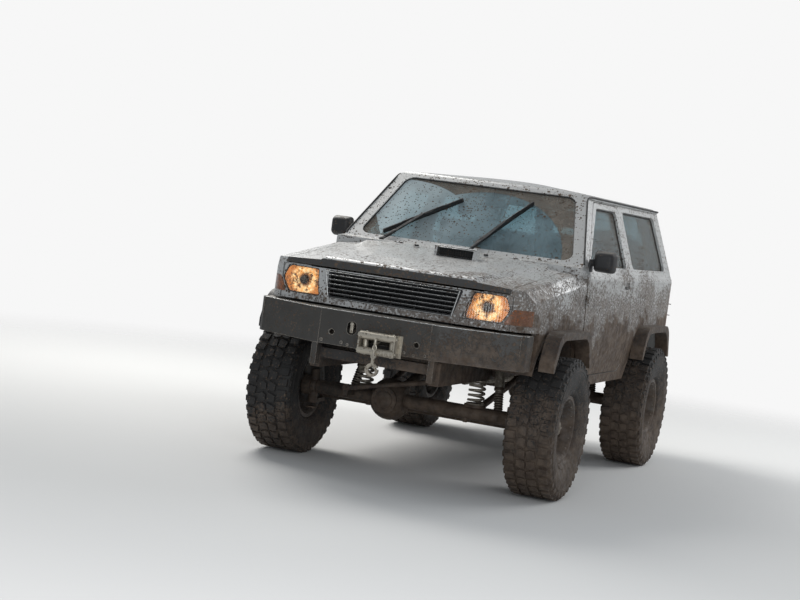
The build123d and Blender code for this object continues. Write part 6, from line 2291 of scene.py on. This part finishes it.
def add_floor():
    """A round pale floor that fades into the background."""
    bm = bmesh.new()
    bmesh.ops.create_circle(bm, cap_ends=True, segments=96, radius=FLOOR_RADIUS)
    bmesh.ops.translate(bm, vec=(0, 0, -FLOOR_DEPTH), verts=bm.verts)
    floor = show("floor", mesh_from(bm, "floor"))
    made, tree, shader = new_material("Floor")
    where = object_place(tree)
    ground = chosen("vehicle_stage").ground
    tone = noise_of(tree, where, 0.8, 2.0)
    colour = blend_colour(tree, tone, tuple(c * 0.985 for c in ground), tuple(ground))
    distance = add_node(tree, "ShaderNodeVectorMath", {0: where}, operation="LENGTH").outputs["Value"]
    feed(tree, shader.inputs, {"Base Color": colour, "Roughness": 0.9,
                               "Alpha": ramp(tree, distance, 8.5, 3.6)})
    floor.data.materials.append(made)


def add_world():
    """Soft even light, with a pale background for camera and glass rays."""
    world = bpy.data.worlds.new("Studio")
    world.use_nodes = True
    bpy.context.scene.world = world
    tree = world.node_tree
    back = tree.nodes["Background"]
    path = add_node(tree, "ShaderNodeLightPath")
    seen = calc(tree, "MAXIMUM", path.outputs["Is Camera Ray"], path.outputs["Is Transmission Ray"])
    feed(tree, back.inputs, {"Color": (0.80, 0.85, 0.90, 1.0), "Strength": 0.40})
    white = add_node(tree, "ShaderNodeBackground", {"Color": (0.93, 0.93, 0.93, 1.0), "Strength": 1.0})
    mixed = add_node(tree, "ShaderNodeMixShader", {0: seen, 1: back.outputs[0], 2: white.outputs[0]})
    tree.links.new(mixed.outputs[0], tree.nodes["World Output"].inputs["Surface"])


def add_lamps():
    """A broad key from above, a cooler fill from the front and a rim lamp."""
    key = chosen("vehicle_stage").key
    rows = (("key", (-4.6, 2.4, 6.4), 4.5, key, (1.0, 0.98, 0.95)),
            ("fill", (3.0, -7.5, 2.6), 4.5, key * 0.30, (0.93, 0.96, 1.0)),
            ("rim", (4.5, 4.5, 4.5), 4.0, key * 0.4, (1.0, 1.0, 1.0)))
    for name, place, size, power, colour in rows:
        lamp = bpy.data.lights.new(name, "AREA")
        lamp.size = size
        lamp.energy = power
        lamp.color = colour
        holder = show(name, lamp)
        holder.location = place
        aim = Vector((0, -0.3, 0.9)) - Vector(place)
        holder.rotation_euler = aim.to_track_quat("-Z", "Y").to_euler()


# The photograph's camera: found from points that lie alike on both sides of the body.
VIEW_AZIMUTH = math.radians(20.5)
VIEW_RISE = math.radians(2.9)
VIEW_ROLL = math.radians(7.66)
VIEW_DISTANCE = 10.91
VIEW_LENS = 76.5
VIEW_TARGET = at(-0.216, 0.0, 0.6385)


def add_camera():
    """The photograph's view."""
    back = Vector((math.sin(VIEW_AZIMUTH) * math.cos(VIEW_RISE),
                   -math.cos(VIEW_AZIMUTH) * math.cos(VIEW_RISE), math.sin(VIEW_RISE)))
    across = Vector((0, 0, 1)).cross(back).normalized()
    up = back.cross(across)
    right = across * math.cos(VIEW_ROLL) + up * math.sin(VIEW_ROLL)
    above = up * math.cos(VIEW_ROLL) - across * math.sin(VIEW_ROLL)
    lens = bpy.data.cameras.new("camera")
    lens.lens = VIEW_LENS
    lens.sensor_width = 36.0
    lens.clip_end = 200.0
    camera = show("camera", lens)
    turn = Matrix((right, above, back)).transposed().to_4x4()
    camera.matrix_world = Matrix.Translation(VIEW_TARGET + back * VIEW_DISTANCE) @ turn
    bpy.context.scene.camera = camera


STEPS = (VEHICLE_OT_stage, VEHICLE_OT_finishes, VEHICLE_OT_tyres, VEHICLE_OT_seals, VEHICLE_OT_headlamps,
         VEHICLE_OT_corner_lamps, VEHICLE_OT_grille, VEHICLE_OT_winch, VEHICLE_OT_bumper, VEHICLE_OT_wipers,
         VEHICLE_OT_film, VEHICLE_OT_body_trim, VEHICLE_OT_doors, VEHICLE_OT_wheel_fittings,
         VEHICLE_OT_suspension, VEHICLE_OT_seats, VEHICLE_OT_cabin, VEHICLE_OT_underbody)


class VEHICLE_PT_panel(bpy.types.Panel):
    """Lists the vehicle's pieces."""
    bl_idname = "VEHICLE_PT_panel"
    bl_label = "Vehicle"
    bl_space_type = "VIEW_3D"
    bl_region_type = "UI"
    bl_category = "Vehicle"

    def draw(self, context):
        for step in STEPS:
            self.layout.operator(step.bl_idname)
        for name, kind in SETTINGS.items():
            box = self.layout.box()
            for field in kind.__annotations__:
                box.prop(getattr(context.scene, name), field)


CLASSES = (*SETTINGS.values(), *STEPS, VEHICLE_PT_panel)


def register():
    for kind in CLASSES:
        bpy.utils.register_class(kind)
    for name, kind in SETTINGS.items():
        setattr(bpy.types.Scene, name, bpy.props.PointerProperty(type=kind))


def unregister():
    for name in SETTINGS:
        delattr(bpy.types.Scene, name)
    for kind in reversed(CLASSES):
        bpy.utils.unregister_class(kind)


def main():
    register()
    for step in STEPS:
        group, name = step.bl_idname.split(".")
        getattr(getattr(bpy.ops, group), name)()
    bpy.context.view_layer.update()


if __name__ == "__main__":
    main()
